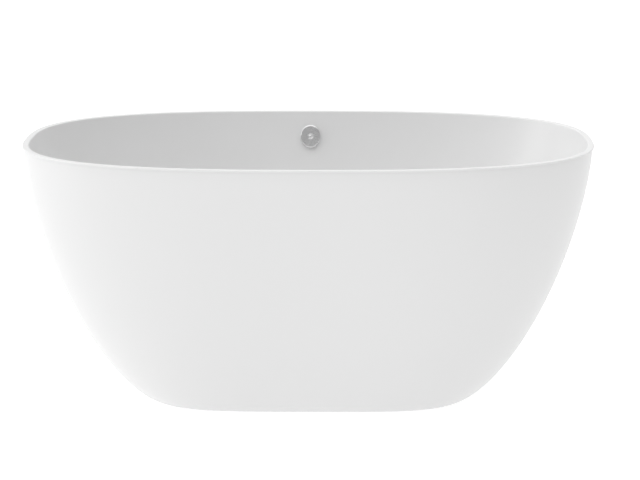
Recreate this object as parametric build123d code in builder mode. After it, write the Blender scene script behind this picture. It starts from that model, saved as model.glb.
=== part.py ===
from build123d import *

import os
from math import atan2, copysign, cos, pi, sin

# Freestanding double-skin bathtub with an overflow and a click-clack waste.
# Millimetres. +X runs along the tub, +Y towards the overflow, +Z up.
# The origin is on the floor under the middle of the tub.

# ------------------------------------------------------------- driving dimensions

# Whole tub
tub_length = 1400.0
tub_width = 750.0
tub_height = 630.0

# Rim of the basin
rim_width = 15.0
rim_thickness = 4.5
rim_edge_radius = 1.5
rim_inner_radius = 3.0
rim_squareness = 2.7
rim_overhang = 3.0

# Bonded joint between the rim and the skirt
bond_line = 0.6
bond_width = 6.0
bond_inset = 0.4

# Skirt, the outer shell
skirt_wall = 4.0
skirt_foot_length = 776.0
skirt_foot_width = 500.0
skirt_foot_squareness = 4.2
skirt_swell = 1.5
skirt_turn = 1.49
skirt_floor_gap = 2.0
skirt_return_width = 30.0

# Basin, the inner shell
basin_wall = 5.0
basin_floor_height = 165.0
basin_end_lean = 285.0
basin_side_lean = 185.0
basin_floor_squareness = 2.8
basin_swell = 1.0
basin_turn = 1.8

# Dish that falls to the drain
dish_slope_width = 43.0
dish_seat_margin = 2.0
dish_fall = 4.0

# Base board under the basin floor
board_overhang = 20.0
board_stud_gap = 9.0
board_thickness = 18.0
board_corner_radius = 40.0
board_hole_clearance = 6.0

# Steel frame of rectangular tube
tube_width = 30.0
tube_height = 20.0
tube_wall = 1.5
tube_corner_radius = 2.0
rail_overhang = 85.0
rail_inset = 45.0
cross_overhang = 30.0
end_cap_head = 2.0
end_cap_depth = 12.0
end_cap_clearance = 0.1

# Screws that hold the rails to the board
board_screw_diameter = 5.0
board_screw_head_diameter = 10.0
board_screw_head_height = 3.0
board_screw_bite = 14.0
board_screw_inset = 40.0
board_screws_per_rail = 4
board_screw_cross_length = 6.0
board_screw_cross_width = 1.2
board_screw_cross_depth = 1.5
screw_hole_clearance = 0.05

# Levelling feet
foot_inset_x = 133.0
foot_inset_y = 85.0
stud_diameter = 12.0
stud_projection = 26.0
stud_collar_rim = 3.5
stud_collar_height = 6.0
stud_end_chamfer = 1.0
stud_hole_clearance = 0.5
nut_thread_clearance = 0.05
nut_rim = 3.5
nut_height = 10.0
pad_diameter = 50.0
pad_rim_height = 6.0
pad_hub_wall = 7.0
pad_height = 22.0
pad_floor = 8.0
pad_running_clearance = 0.05
pad_seat_gap = 0.3

# Overflow, on the rear wall
overflow_drop = 66.0
overflow_tube_diameter = 38.0
overflow_tube_wall = 2.0
overflow_hole_clearance = 1.5
overflow_flange_lip = 4.0
overflow_flange_thickness = 2.0
overflow_gasket_thickness = 1.0
overflow_seal_thickness = 1.5
overflow_seat_clearance = 0.2
overflow_body_flange_reach = 7.5
overflow_body_flange_thickness = 2.5
overflow_body_side = 3.0
overflow_body_depth = 10.5
overflow_body_wall = 2.0
overflow_tube_reach = 5.0
overflow_thread_clearance = 0.05
overflow_neck_overlap = 5.5
overflow_neck_length = 38.0
overflow_neck_side = 5.0
overflow_spider_thickness = 3.0
overflow_spider_boss_wall = 3.0
overflow_spider_arm_width = 3.0
overflow_spider_arms = 3

# Overflow cover and its screw
cover_margin = 3.5
cover_stretch = 8.0
cover_depth = 10.0
cover_wall = 2.0
cover_edge_radius = 1.8
cover_standoff = 1.0
cover_slot_width = 9.0
cover_slot_height = 3.5
cover_slot_spacing = 13.0
cover_slot_count = 3
cover_slot_reach = 10.0
cover_screw_diameter = 5.0
cover_screw_length = 16.0
cover_screw_head_diameter = 8.6
cover_screw_head_height = 2.0
cover_screw_head_proud = 0.6
cover_screw_recess_clearance = 1.6
cover_screw_socket = 3.0
cover_screw_socket_depth = 1.4
cover_screw_end_gap = 0.5

# Hose from the overflow to the drain
hose_diameter = 20.0
hose_wall = 2.0
hose_fit_clearance = 0.05
hose_spigot_length = 18.0
hose_spigot_wall = 1.5
hose_wall_clearance = 2.5
hose_rail_clearance = 4.0
hose_lead = 55.0
hose_bow = 8.0
hose_lead_radius = 300.0
hose_bow_radius = 600.0
hose_corner_radius = 100.0
clip_wall = 1.0
clip_width = 9.0
clip_box_width = 7.0
clip_box_height = 6.0

# Drain flange in the basin floor
drain_hole_clearance = 1.5
drain_flange_lip = 10.5
drain_flange_thickness = 2.5
drain_flange_edge_radius = 1.25
drain_flange_seal_thickness = 1.0
drain_flange_seal_inset = 1.0
drain_throat_diameter = 49.0
drain_throat_wall = 2.5
drain_throat_length = 33.0
drain_spider_thickness = 7.0
drain_spider_boss_wall = 3.0
drain_spider_arm_width = 3.5
drain_spider_arms = 4

# Drain body under the basin floor
drain_seal_thickness = 3.6
drain_body_flange_reach = 16.0
drain_body_flange_thickness = 4.0
drain_body_wall = 5.5
drain_body_height = 55.0
drain_body_floor = 4.0
drain_thread_clearance = 0.05
outlet_wall = 5.0
outlet_length = 20.0

# Tailpiece and its coupling nut
tailpiece_diameter = 40.0
tailpiece_wall = 2.0
tailpiece_length = 52.0
tailpiece_collar_lip = 2.0
tailpiece_collar_height = 3.0
tailpiece_neck_length = 6.0
tailpiece_neck_relief = 0.3
washer_thickness = 2.0
coupling_nut_wall = 7.0
coupling_nut_height = 22.0
coupling_nut_lip = 4.0
coupling_nut_flutes = 12
coupling_nut_flute_radius = 2.5
coupling_clearance = 0.1

# Click-clack plug
plug_inset = 3.0
plug_thickness = 4.0
plug_crown = 1.6
plug_edge_radius = 1.3
plug_travel = 8.0
plug_closed_gap = 0.5
plug_seal_thickness = 5.0
plug_seal_clearance = 0.4
plug_seal_band = 7.0
plunger_diameter = 8.0
plunger_collar_lip = 2.0
plunger_collar_height = 2.0
plunger_entry = 2.0
guide_wall = 2.9
guide_clearance = 0.1
guide_height = 22.0
guide_floor = 2.0
guide_lip = 2.0
guide_thread_diameter = 10.0
plug_running_clearance = 0.05
plug_stop_gap = 0.5
spring_wire_diameter = 0.9
spring_inset = 0.8
spring_turns = 5

# Foam packers between the basin and the skirt
packer_length = 70.0
packer_height = 60.0
packer_centre_height = 410.0
packer_spacing = 640.0
packer_clearance = 0.3

# How finely the curved walls are drawn
wall_sections = 11
oval_points = 40

# ------------------------------------------------------------- worked-out sizes

# Basin floor, inside the rim by the lean of the walls
basin_floor_length = tub_length - 2 * (rim_width + basin_end_lean)
basin_floor_width = tub_width - 2 * (rim_width + basin_side_lean)

# Drain, from its throat outwards
drain_hole_diameter = drain_throat_diameter + 2 * drain_hole_clearance
drain_flange_diameter = drain_throat_diameter + 2 * drain_flange_lip
dish_seat_diameter = drain_flange_diameter + 2 * dish_seat_margin
dish_diameter = dish_seat_diameter + 2 * dish_slope_width
plug_diameter = drain_flange_diameter - 2 * plug_inset
drain_body_diameter = drain_throat_diameter + 2 * drain_body_wall
drain_body_flange_diameter = drain_hole_diameter + 2 * drain_body_flange_reach
drain_spider_boss_diameter = guide_thread_diameter + 2 * drain_spider_boss_wall

# Outlet and its nut, from the tailpiece outwards
tailpiece_collar_diameter = tailpiece_diameter + 2 * tailpiece_collar_lip
outlet_diameter = tailpiece_collar_diameter
outlet_bore_diameter = outlet_diameter - 2 * outlet_wall
coupling_nut_diameter = outlet_diameter + 2 * coupling_nut_wall

# Plug, from its plunger outwards
plunger_collar_diameter = plunger_diameter + 2 * plunger_collar_lip
spring_mean_diameter = plunger_collar_diameter - 2 * spring_inset
guide_diameter = plunger_collar_diameter + 2 * (guide_clearance + guide_wall)

# Overflow, from its tube outwards
overflow_hole_diameter = overflow_tube_diameter + 2 * overflow_hole_clearance
overflow_flange_diameter = overflow_tube_diameter + 2 * overflow_flange_lip
overflow_body_diameter = overflow_tube_diameter + 2 * overflow_body_side
overflow_body_flange_diameter = overflow_hole_diameter + 2 * overflow_body_flange_reach
overflow_neck_width = hose_diameter + 2 * overflow_neck_side
overflow_neck_rise = overflow_body_diameter / 2 - overflow_neck_overlap
overflow_spider_boss_diameter = cover_screw_diameter + 2 * overflow_spider_boss_wall
cover_width = overflow_flange_diameter + 2 * cover_margin
cover_height = cover_width + cover_stretch

# Feet inside the skirt's foot, and the frame and the board that reach past them
cross_spacing = skirt_foot_length - 2 * foot_inset_x
foot_spacing_y = skirt_foot_width - 2 * foot_inset_y
board_width = foot_spacing_y - stud_diameter - 2 * board_stud_gap
rail_spacing = board_width - 2 * rail_inset
cross_length = foot_spacing_y + 2 * cross_overhang
rail_length = cross_spacing + 2 * rail_overhang
board_length = rail_length + 2 * board_overhang
board_screw_spacing = (rail_length - 2 * board_screw_inset) / (board_screws_per_rail - 1)
stud_collar_diameter = stud_diameter + 2 * stud_collar_rim
nut_across_flats = stud_diameter + 2 * nut_rim
pad_hub_diameter = stud_diameter + 2 * pad_hub_wall

# Levels
rim_bottom = tub_height - rim_thickness
skirt_top = rim_bottom - bond_line
floor_underside = basin_floor_height - basin_wall
board_bottom = floor_underside - board_thickness
rail_bottom = board_bottom - tube_height
cross_bottom = rail_bottom - tube_height
dish_seat = basin_floor_height - dish_fall
dish_underside = dish_seat - basin_wall
dish_under_diameter = dish_diameter + 2 * basin_wall
stud_top_height = rail_bottom + stud_projection


# ------------------------------------------------------------- shape of the walls

def wall_rise(share, swell, turn):
    """Share of the outward sweep that a wall has made at a share of its height."""
    return (1 - (1 - share) ** swell) ** (1 / turn)


def oval_at(wall, height):
    """Half length, half width and squareness of a wall's plan at a height."""
    foot, top, low, high, swell, turn = wall
    share = min(max((height - low) / (high - low), 0.0), 1.0)
    sweep = wall_rise(share, swell, turn)
    half_length = foot[0] + (top[0] - foot[0]) * sweep
    half_width = foot[1] + (top[1] - foot[1]) * sweep
    squareness = foot[2] + (top[2] - foot[2]) * share
    return half_length, half_width, squareness


def offset_wall(wall, gap):
    """The same wall moved inwards and upwards by a gap, or out and down by a negative one."""
    foot, top, low, high, swell, turn = wall
    moved_top = (top[0] - gap, top[1] - gap, top[2])
    return foot, moved_top, low + gap, high, swell, turn


def oval_outline(half_length, half_width, squareness):
    """Points round a squared-off ellipse, starting at a corner, where they lie closest."""
    points = []
    for step in range(oval_points):
        angle = pi / 4 + 2 * pi * step / oval_points
        across = copysign(abs(cos(angle)) ** (2 / squareness), cos(angle))
        along = copysign(abs(sin(angle)) ** (2 / squareness), sin(angle))
        points.append((half_length * across, half_width * along))
    return points


def oval_plate(bottom, thickness, half_length, half_width, squareness):
    """Flat plate with a squared-off oval outline."""
    with BuildPart() as plate:
        with BuildSketch(Plane.XY.offset(bottom)):
            with BuildLine():
                Spline(*oval_outline(half_length, half_width, squareness), periodic=True)
            make_face()
        extrude(amount=thickness)
    return plate.part


def wall_solid(wall, top):
    """Solid inside a wall, from its foot to a level, with closer sections near the foot."""
    low = wall[2]
    with BuildPart() as solid:
        for step in range(wall_sections):
            height = low + (top - low) * (step / (wall_sections - 1)) ** 2
            with BuildSketch(Plane.XY.offset(height)):
                with BuildLine():
                    Spline(*oval_outline(*oval_at(wall, height)), periodic=True)
                make_face()
        loft()
    return solid.part


skirt_outer = (
    (skirt_foot_length / 2, skirt_foot_width / 2, skirt_foot_squareness),
    (tub_length / 2 - rim_overhang, tub_width / 2 - rim_overhang, rim_squareness),
    skirt_floor_gap,
    tub_height,
    skirt_swell,
    skirt_turn,
)
skirt_inner = offset_wall(skirt_outer, skirt_wall)

basin_inner = (
    (basin_floor_length / 2, basin_floor_width / 2, basin_floor_squareness),
    (tub_length / 2 - rim_width, tub_width / 2 - rim_width, rim_squareness),
    basin_floor_height,
    tub_height,
    basin_swell,
    basin_turn,
)
basin_outer = offset_wall(basin_inner, -basin_wall)

# The overflow's plane lies on the rear wall, square to it, and points into the tub.
overflow_height = tub_height - overflow_drop
slope_step = 1.0
wall_above = oval_at(basin_inner, overflow_height + slope_step)[1]
wall_below = oval_at(basin_inner, overflow_height - slope_step)[1]
overflow_tilt = atan2(wall_above - wall_below, 2 * slope_step)
overflow_wall_y = oval_at(basin_inner, overflow_height)[1]
overflow_wall = (oval_at(basin_outer, overflow_height)[1] - overflow_wall_y) * cos(overflow_tilt)
overflow_plane = Plane(
    origin=(0, overflow_wall_y, overflow_height),
    x_dir=(1, 0, 0),
    z_dir=(0, -cos(overflow_tilt), sin(overflow_tilt)),
)

# ------------------------------------------------------------- shared shapes


def tube_at(plane, outer_radius, inner_radius, start, end):
    """Round tube, or a rod with an inner radius of 0, between two levels of a plane."""
    with BuildPart() as tube:
        with BuildSketch(plane.offset(start)):
            Circle(outer_radius)
            if inner_radius > 0:
                Circle(inner_radius, mode=Mode.SUBTRACT)
        extrude(amount=end - start)
    return tube.part


def keep(piece, name):
    """Label a finished piece and write it."""
    piece.label = name
    export_step(piece, f"parts/{name}.step")


os.makedirs("parts", exist_ok=True)

# ------------------------------------------------------------- basin and skirt

# The dish and its thickened underside, as a cone below a flat seat.
dish_under_seat = dish_seat_diameter + 2 * basin_wall

with BuildPart() as basin:
    add(wall_solid(basin_outer, tub_height))
    add(oval_plate(rim_bottom, rim_thickness, tub_length / 2, tub_width / 2, rim_squareness))
    with BuildSketch(Plane.XY.offset(floor_underside)):
        Circle(dish_under_diameter / 2)
    with BuildSketch(Plane.XY.offset(dish_underside)):
        Circle(dish_under_seat / 2)
    loft()
    add(wall_solid(basin_inner, tub_height), mode=Mode.SUBTRACT)
    with BuildSketch(Plane.XY.offset(basin_floor_height)):
        Circle(dish_diameter / 2)
    with BuildSketch(Plane.XY.offset(dish_seat)):
        Circle(dish_seat_diameter / 2)
    loft(mode=Mode.SUBTRACT)
    with Locations((0, 0, dish_seat)):
        Hole(drain_hole_diameter / 2)
    with BuildSketch(overflow_plane.offset(basin_wall)):
        Circle(overflow_hole_diameter / 2)
    extrude(amount=-3 * basin_wall, mode=Mode.SUBTRACT)
    rim_edges = basin.edges().group_by(Axis.Z)[-1].sort_by(SortBy.LENGTH)
    fillet(rim_edges[-1], rim_edge_radius)
    inner_edge = basin.edges().group_by(Axis.Z)[-1].sort_by(SortBy.LENGTH)[0]
    fillet(inner_edge, rim_inner_radius)
keep(basin.part, "basin")

# The skirt ends in a flat flange turned inwards, just clear of the floor.
with BuildPart() as skirt:
    add(wall_solid(skirt_outer, skirt_top))
    add(wall_solid(skirt_inner, skirt_top), mode=Mode.SUBTRACT)
    add(
        oval_plate(
            skirt_floor_gap,
            skirt_wall,
            skirt_foot_length / 2 - skirt_return_width,
            skirt_foot_width / 2 - skirt_return_width,
            skirt_foot_squareness,
        ),
        mode=Mode.SUBTRACT,
    )
keep(skirt.part, "skirt")

# Adhesive bead between the rim's underside and the skirt's top edge, under the rim's overhang.
skirt_top_oval = oval_at(skirt_outer, skirt_top)
with BuildPart() as rim_bead:
    add(
        oval_plate(
            skirt_top,
            bond_line,
            skirt_top_oval[0] - bond_inset,
            skirt_top_oval[1] - bond_inset,
            skirt_top_oval[2],
        )
    )
    add(
        oval_plate(
            skirt_top,
            bond_line,
            skirt_top_oval[0] - bond_inset - bond_width,
            skirt_top_oval[1] - bond_inset - bond_width,
            skirt_top_oval[2],
        ),
        mode=Mode.SUBTRACT,
    )
keep(rim_bead.part, "rim_bead")

# Foam packers, cut to the space between the two shells.
packer_space_wall = offset_wall(skirt_inner, packer_clearance)
packer_basin_wall = offset_wall(basin_outer, -packer_clearance)
packer_places = [(-packer_spacing / 2, 0), (packer_spacing / 2, 0)]
with BuildPart() as wall_packers:
    with BuildSketch(Plane.XY.offset(packer_centre_height - packer_height / 2)):
        with Locations(*packer_places):
            Rectangle(packer_length, tub_width)
    extrude(amount=packer_height)
    add(wall_solid(packer_space_wall, skirt_top), mode=Mode.INTERSECT)
    add(wall_solid(packer_basin_wall, tub_height), mode=Mode.SUBTRACT)
keep(wall_packers.part, "wall_packers")

# ------------------------------------------------------------- board and frame

board_hole_diameter = dish_under_diameter + 2 * board_hole_clearance
with BuildPart() as base_board:
    with BuildSketch(Plane.XY.offset(board_bottom)):
        RectangleRounded(board_length, board_width, board_corner_radius)
        Circle(board_hole_diameter / 2, mode=Mode.SUBTRACT)
    extrude(amount=board_thickness)
    screw_hole_radius = board_screw_diameter / 2 + screw_hole_clearance
    with Locations(Plane.XY.offset(board_bottom)):
        with GridLocations(board_screw_spacing, rail_spacing, board_screws_per_rail, 2):
            Cylinder(
                screw_hole_radius,
                board_screw_bite + screw_hole_clearance,
                align=(Align.CENTER, Align.CENTER, Align.MIN),
                mode=Mode.SUBTRACT,
            )
keep(base_board.part, "base_board")


def frame_tube(plane, length, place, bottom):
    """Rectangular steel tube, square to a plane, at a place across and a height."""
    with BuildPart() as tube:
        with BuildSketch(plane):
            with Locations((place, bottom + tube_height / 2)):
                RectangleRounded(tube_width, tube_height, tube_corner_radius)
                RectangleRounded(
                    tube_width - 2 * tube_wall,
                    tube_height - 2 * tube_wall,
                    tube_corner_radius - tube_wall / 2,
                    mode=Mode.SUBTRACT,
                )
        extrude(amount=length / 2, both=True)
    return tube.part


def end_cap(plane):
    """Plastic plug in the end of a frame tube, whose mouth lies on the plane."""
    inside = 2 * (tube_wall + end_cap_clearance)
    with BuildPart() as cap:
        with BuildSketch(plane):
            RectangleRounded(tube_width, tube_height, tube_corner_radius)
        extrude(amount=end_cap_head)
        with BuildSketch(plane):
            RectangleRounded(tube_width - inside, tube_height - inside, tube_corner_radius)
        extrude(amount=-end_cap_depth)
    return cap.part


for name, side in (("rail_front", -1), ("rail_rear", 1)):
    with BuildPart() as rail:
        add(frame_tube(Plane.YZ, rail_length, side * rail_spacing / 2, rail_bottom))
        with Locations((0, side * rail_spacing / 2, rail_bottom)):
            with GridLocations(board_screw_spacing, 1, board_screws_per_rail, 1):
                Cylinder(
                    screw_hole_radius,
                    tube_height,
                    align=(Align.CENTER, Align.CENTER, Align.MIN),
                    mode=Mode.SUBTRACT,
                )
    keep(rail.part, name)

stud_hole_radius = stud_diameter / 2 + stud_hole_clearance
for name, side in (("cross_member_left", -1), ("cross_member_right", 1)):
    with BuildPart() as cross_member:
        add(frame_tube(Plane.XZ, cross_length, side * cross_spacing / 2, cross_bottom))
        with Locations((side * cross_spacing / 2, 0, cross_bottom)):
            with GridLocations(1, foot_spacing_y, 1, 2):
                Cylinder(
                    stud_hole_radius,
                    tube_height,
                    align=(Align.CENTER, Align.CENTER, Align.MIN),
                    mode=Mode.SUBTRACT,
                )
    keep(cross_member.part, name)

corners = [(-1, -1), (1, -1), (-1, 1), (1, 1)]
rail_middle = rail_bottom + tube_height / 2
cross_middle = cross_bottom + tube_height / 2
with BuildPart() as frame_end_caps:
    for x_side, y_side in corners:
        rail_end = (x_side * rail_length / 2, y_side * rail_spacing / 2, rail_middle)
        cross_end = (x_side * cross_spacing / 2, y_side * cross_length / 2, cross_middle)
        add(end_cap(Plane(origin=rail_end, x_dir=(0, 1, 0), z_dir=(x_side, 0, 0))))
        add(end_cap(Plane(origin=cross_end, x_dir=(1, 0, 0), z_dir=(0, y_side, 0))))
keep(frame_end_caps.part, "frame_end_caps")

# Pan-head screws up through the rails into the board.
with BuildPart() as board_screws:
    screw_places = GridLocations(
        board_screw_spacing, rail_spacing, board_screws_per_rail, 2
    ).locations
    with BuildSketch(Plane.XY.offset(rail_bottom - board_screw_head_height)):
        with Locations(*screw_places):
            Circle(board_screw_head_diameter / 2)
    extrude(amount=board_screw_head_height)
    with BuildSketch(Plane.XY.offset(rail_bottom)):
        with Locations(*screw_places):
            Circle(board_screw_diameter / 2)
    extrude(amount=tube_height + board_screw_bite)
    with BuildSketch(Plane.XY.offset(rail_bottom - board_screw_head_height)):
        with Locations(*screw_places):
            Rectangle(board_screw_cross_length, board_screw_cross_width)
            Rectangle(board_screw_cross_width, board_screw_cross_length)
    extrude(amount=board_screw_cross_depth, mode=Mode.SUBTRACT)
keep(board_screws.part, "board_screws")

# ------------------------------------------------------------- levelling feet

foot_places = [(x * cross_spacing / 2, y * foot_spacing_y / 2) for x, y in corners]
foot_names = ["front_left", "front_right", "rear_left", "rear_right"]


def foot_nuts(top):
    """Four hexagon nuts round the studs, with their top faces at a level."""
    with BuildPart() as nuts:
        with BuildSketch(Plane.XY.offset(top - nut_height)):
            with Locations(*foot_places):
                RegularPolygon(nut_across_flats / 2, 6, major_radius=False)
                Circle(stud_diameter / 2 + nut_thread_clearance, mode=Mode.SUBTRACT)
        extrude(amount=nut_height)
    return nuts.part


keep(foot_nuts(cross_bottom), "weld_nuts")
keep(foot_nuts(cross_bottom - nut_height), "lock_nuts")

collar_bottom = pad_height + pad_seat_gap
for name, (foot_x, foot_y) in zip(foot_names, foot_places):
    with BuildPart() as stud:
        with BuildSketch(Plane.XY.offset(pad_floor + pad_seat_gap)):
            with Locations((foot_x, foot_y)):
                Circle(stud_diameter / 2)
        extrude(amount=stud_top_height - pad_floor - pad_seat_gap)
        chamfer(stud.edges().filter_by(GeomType.CIRCLE), stud_end_chamfer)
        with BuildSketch(Plane.XY.offset(collar_bottom)):
            with Locations((foot_x, foot_y)):
                RegularPolygon(stud_collar_diameter / 2, 6, major_radius=False)
        extrude(amount=stud_collar_height)
    keep(stud.part, f"stud_{name}")

    socket_radius = stud_diameter / 2 + pad_running_clearance
    with BuildPart() as pad:
        with BuildSketch(Plane(origin=(foot_x, foot_y, 0), x_dir=(1, 0, 0), z_dir=(0, -1, 0))):
            with BuildLine():
                Polyline(
                    (0, 0),
                    (pad_diameter / 2, 0),
                    (pad_diameter / 2, pad_rim_height),
                    (pad_hub_diameter / 2, pad_height - pad_rim_height),
                    (pad_hub_diameter / 2, pad_height),
                    (socket_radius, pad_height),
                    (socket_radius, pad_floor),
                    (0, pad_floor),
                    close=True,
                )
            make_face()
        revolve(axis=Axis((foot_x, foot_y, 0), (0, 0, 1)))
    keep(pad.part, f"pad_{name}")

# ------------------------------------------------------------- overflow

# Levels along the overflow's own axis: 0 at the wall's inner face, positive into the tub.
gasket_back = overflow_seat_clearance
flange_back = gasket_back + overflow_gasket_thickness
flange_front = flange_back + overflow_flange_thickness
seal_front = -overflow_wall - overflow_seat_clearance
body_front = seal_front - overflow_seal_thickness
body_shoulder = body_front - overflow_body_flange_thickness
body_back = -overflow_wall - overflow_body_depth
tube_end = body_front - overflow_tube_reach
tube_radius = overflow_tube_diameter / 2
body_bore_radius = tube_radius + overflow_thread_clearance

ring_bore_radius = overflow_hole_diameter / 2
insert_flange_radius = overflow_flange_diameter / 2
body_flange_radius = overflow_body_flange_diameter / 2
keep(
    tube_at(overflow_plane, insert_flange_radius, ring_bore_radius, gasket_back, flange_back),
    "overflow_gasket",
)
keep(
    tube_at(overflow_plane, body_flange_radius, ring_bore_radius, body_front, seal_front),
    "overflow_seal",
)

spider_back = flange_front - overflow_spider_thickness
screw_bore_radius = cover_screw_diameter / 2 + screw_hole_clearance
cover_front = cover_standoff + cover_depth
screw_recess_depth = cover_screw_head_height - cover_screw_head_proud
screw_seat = cover_front - screw_recess_depth
screw_end = screw_seat - cover_screw_length
spider_boss_back = screw_end - cover_screw_end_gap
with BuildPart() as overflow_insert:
    add(tube_at(overflow_plane, insert_flange_radius, 0, flange_back, flange_front))
    add(tube_at(overflow_plane, tube_radius, 0, tube_end, flange_back))
    bore_radius = tube_radius - overflow_tube_wall
    add(tube_at(overflow_plane, bore_radius, 0, tube_end, flange_front), mode=Mode.SUBTRACT)
    with BuildSketch(overflow_plane.offset(spider_back)):
        with PolarLocations(0, overflow_spider_arms):
            Rectangle(
                bore_radius + overflow_tube_wall / 2,
                overflow_spider_arm_width,
                align=(Align.MIN, Align.CENTER),
            )
    extrude(amount=overflow_spider_thickness)
    boss_radius = overflow_spider_boss_diameter / 2
    add(tube_at(overflow_plane, boss_radius, 0, spider_boss_back, flange_front))
    add(
        tube_at(overflow_plane, screw_bore_radius, 0, spider_boss_back, flange_front),
        mode=Mode.SUBTRACT,
    )
keep(overflow_insert.part, "overflow_insert")

# The body's neck narrows from a flat slot in the cup to a round spigot for the hose.
cup_radius = overflow_body_diameter / 2
neck_top = -overflow_neck_rise
neck_end = neck_top - overflow_neck_length
neck_down = -overflow_plane.y_dir
slot_depth = body_shoulder - body_back
slot_end_flat = 0.1
hose_level = -overflow_wall - hose_wall_clearance - hose_diameter / 2
spigot_radius = hose_diameter / 2 - hose_wall - hose_fit_clearance
slot_middle = overflow_plane.from_local_coords(Vector(0, neck_top, (body_shoulder + body_back) / 2))
neck_middle = overflow_plane.from_local_coords(Vector(0, neck_end, hose_level))
slot_plane = Plane(origin=slot_middle, x_dir=(1, 0, 0), z_dir=neck_down)
neck_plane = Plane(origin=neck_middle, x_dir=(1, 0, 0), z_dir=neck_down)
with BuildPart() as neck_bore:
    with BuildSketch(slot_plane):
        RectangleRounded(
            overflow_neck_width - 2 * hose_spigot_wall,
            slot_depth - 2 * hose_spigot_wall,
            slot_depth / 2 - hose_spigot_wall - slot_end_flat,
        )
    with BuildSketch(neck_plane):
        Circle(spigot_radius - hose_spigot_wall)
    loft()
    with BuildSketch(neck_plane):
        Circle(spigot_radius - hose_spigot_wall)
    extrude(amount=hose_spigot_length)
with BuildPart() as overflow_body:
    add(tube_at(overflow_plane, body_flange_radius, 0, body_shoulder, body_front))
    add(tube_at(overflow_plane, cup_radius, 0, body_back, body_shoulder))
    with BuildSketch(slot_plane):
        RectangleRounded(overflow_neck_width, slot_depth, slot_depth / 2 - slot_end_flat)
    with BuildSketch(neck_plane):
        Circle(spigot_radius)
    loft()
    with BuildSketch(neck_plane):
        Circle(spigot_radius)
    extrude(amount=hose_spigot_length)
    add(
        tube_at(overflow_plane, body_bore_radius, 0, body_back + overflow_body_wall, body_front),
        mode=Mode.SUBTRACT,
    )
    add(neck_bore.part, mode=Mode.SUBTRACT)
keep(overflow_body.part, "overflow_body")

# Oval cover, held by one screw in its middle and open behind and along its lower edge.
cover_seat = flange_front + overflow_seat_clearance
with BuildPart() as overflow_cover:
    with BuildSketch(overflow_plane.offset(cover_standoff)):
        Ellipse(cover_width / 2, cover_height / 2)
    extrude(amount=cover_depth)
    overflow_axis = Axis(overflow_plane.origin, overflow_plane.z_dir)
    front_face = overflow_cover.faces().sort_by(overflow_axis)[-1]
    fillet(front_face.edges(), cover_edge_radius)
    with BuildSketch(overflow_plane.offset(cover_standoff)):
        Ellipse(cover_width / 2 - cover_wall, cover_height / 2 - cover_wall)
    extrude(amount=cover_depth - cover_wall, mode=Mode.SUBTRACT)
    with BuildSketch(overflow_plane.offset(cover_standoff)):
        with Locations((0, -cover_height / 2)):
            with GridLocations(cover_slot_spacing, 1, cover_slot_count, 1):
                Rectangle(cover_slot_width, 2 * cover_slot_reach)
    extrude(amount=cover_slot_height, mode=Mode.SUBTRACT)
    add(tube_at(overflow_plane, boss_radius, 0, cover_seat, cover_front - cover_wall / 2))
    add(
        tube_at(overflow_plane, screw_bore_radius, 0, cover_seat, cover_front),
        mode=Mode.SUBTRACT,
    )
    recess_radius = cover_screw_head_diameter / 2 + cover_screw_recess_clearance
    add(
        tube_at(overflow_plane, recess_radius, 0, screw_seat, cover_front),
        mode=Mode.SUBTRACT,
    )
keep(overflow_cover.part, "overflow_cover")

with BuildPart() as cover_screw:
    add(tube_at(overflow_plane, cover_screw_diameter / 2, 0, screw_end, screw_seat))
    head_front = screw_seat + cover_screw_head_height
    add(tube_at(overflow_plane, cover_screw_head_diameter / 2, 0, screw_seat, head_front))
    with BuildSketch(overflow_plane.offset(head_front)):
        RegularPolygon(cover_screw_socket / 2, 6, major_radius=False)
    extrude(amount=-cover_screw_socket_depth, mode=Mode.SUBTRACT)
keep(cover_screw.part, "cover_screw")

# ------------------------------------------------------------- hose

# The route leaves the neck straight, runs down beside the wall with a slight outward bow,
# then turns in under the frame to the drain.
drain_side_height = rail_bottom - hose_rail_clearance - hose_diameter / 2
lead_end = neck_middle + neck_down * hose_lead
drop = lead_end.Z - drain_side_height
route_corner_y = lead_end.Y + drop * neck_down.Y / -neck_down.Z
hose_end_y = drain_body_diameter / 2 + clip_wall
route = [
    (neck_middle.Y, neck_middle.Z),
    (lead_end.Y, lead_end.Z),
    ((lead_end.Y + route_corner_y) / 2 + hose_bow, (lead_end.Z + drain_side_height) / 2),
    (route_corner_y, drain_side_height),
    (hose_end_y, drain_side_height),
]
with BuildPart() as overflow_hose:
    with BuildLine(Plane.YZ) as hose_path:
        FilletPolyline(*route, radius=[hose_lead_radius, hose_bow_radius, hose_corner_radius])
    with BuildSketch(Plane(origin=hose_path.line @ 0, z_dir=hose_path.line % 0)):
        Circle(hose_diameter / 2)
        Circle(hose_diameter / 2 - hose_wall, mode=Mode.SUBTRACT)
    sweep(path=hose_path.line)
keep(overflow_hose.part, "overflow_hose")


def hose_clip(plane):
    """Band clip with its screw box, round a hose that runs along the plane's normal."""
    inner = hose_diameter / 2 + hose_fit_clearance
    with BuildPart() as clip:
        with BuildSketch(plane):
            Circle(inner + clip_wall)
            with Locations((inner + clip_box_height / 2, 0)):
                Rectangle(clip_box_height, clip_box_width)
            Circle(inner, mode=Mode.SUBTRACT)
        extrude(amount=clip_width)
    return clip.part


clip_inset = (hose_spigot_length - clip_width) / 2
drain_side_plane = Plane(
    origin=(0, drain_body_diameter / 2, drain_side_height), x_dir=(1, 0, 0), z_dir=(0, 1, 0)
)
with BuildPart() as hose_clips:
    add(hose_clip(neck_plane.offset(clip_inset)))
    add(hose_clip(drain_side_plane.offset(clip_inset)))
keep(hose_clips.part, "hose_clips")

# ------------------------------------------------------------- drain

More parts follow.
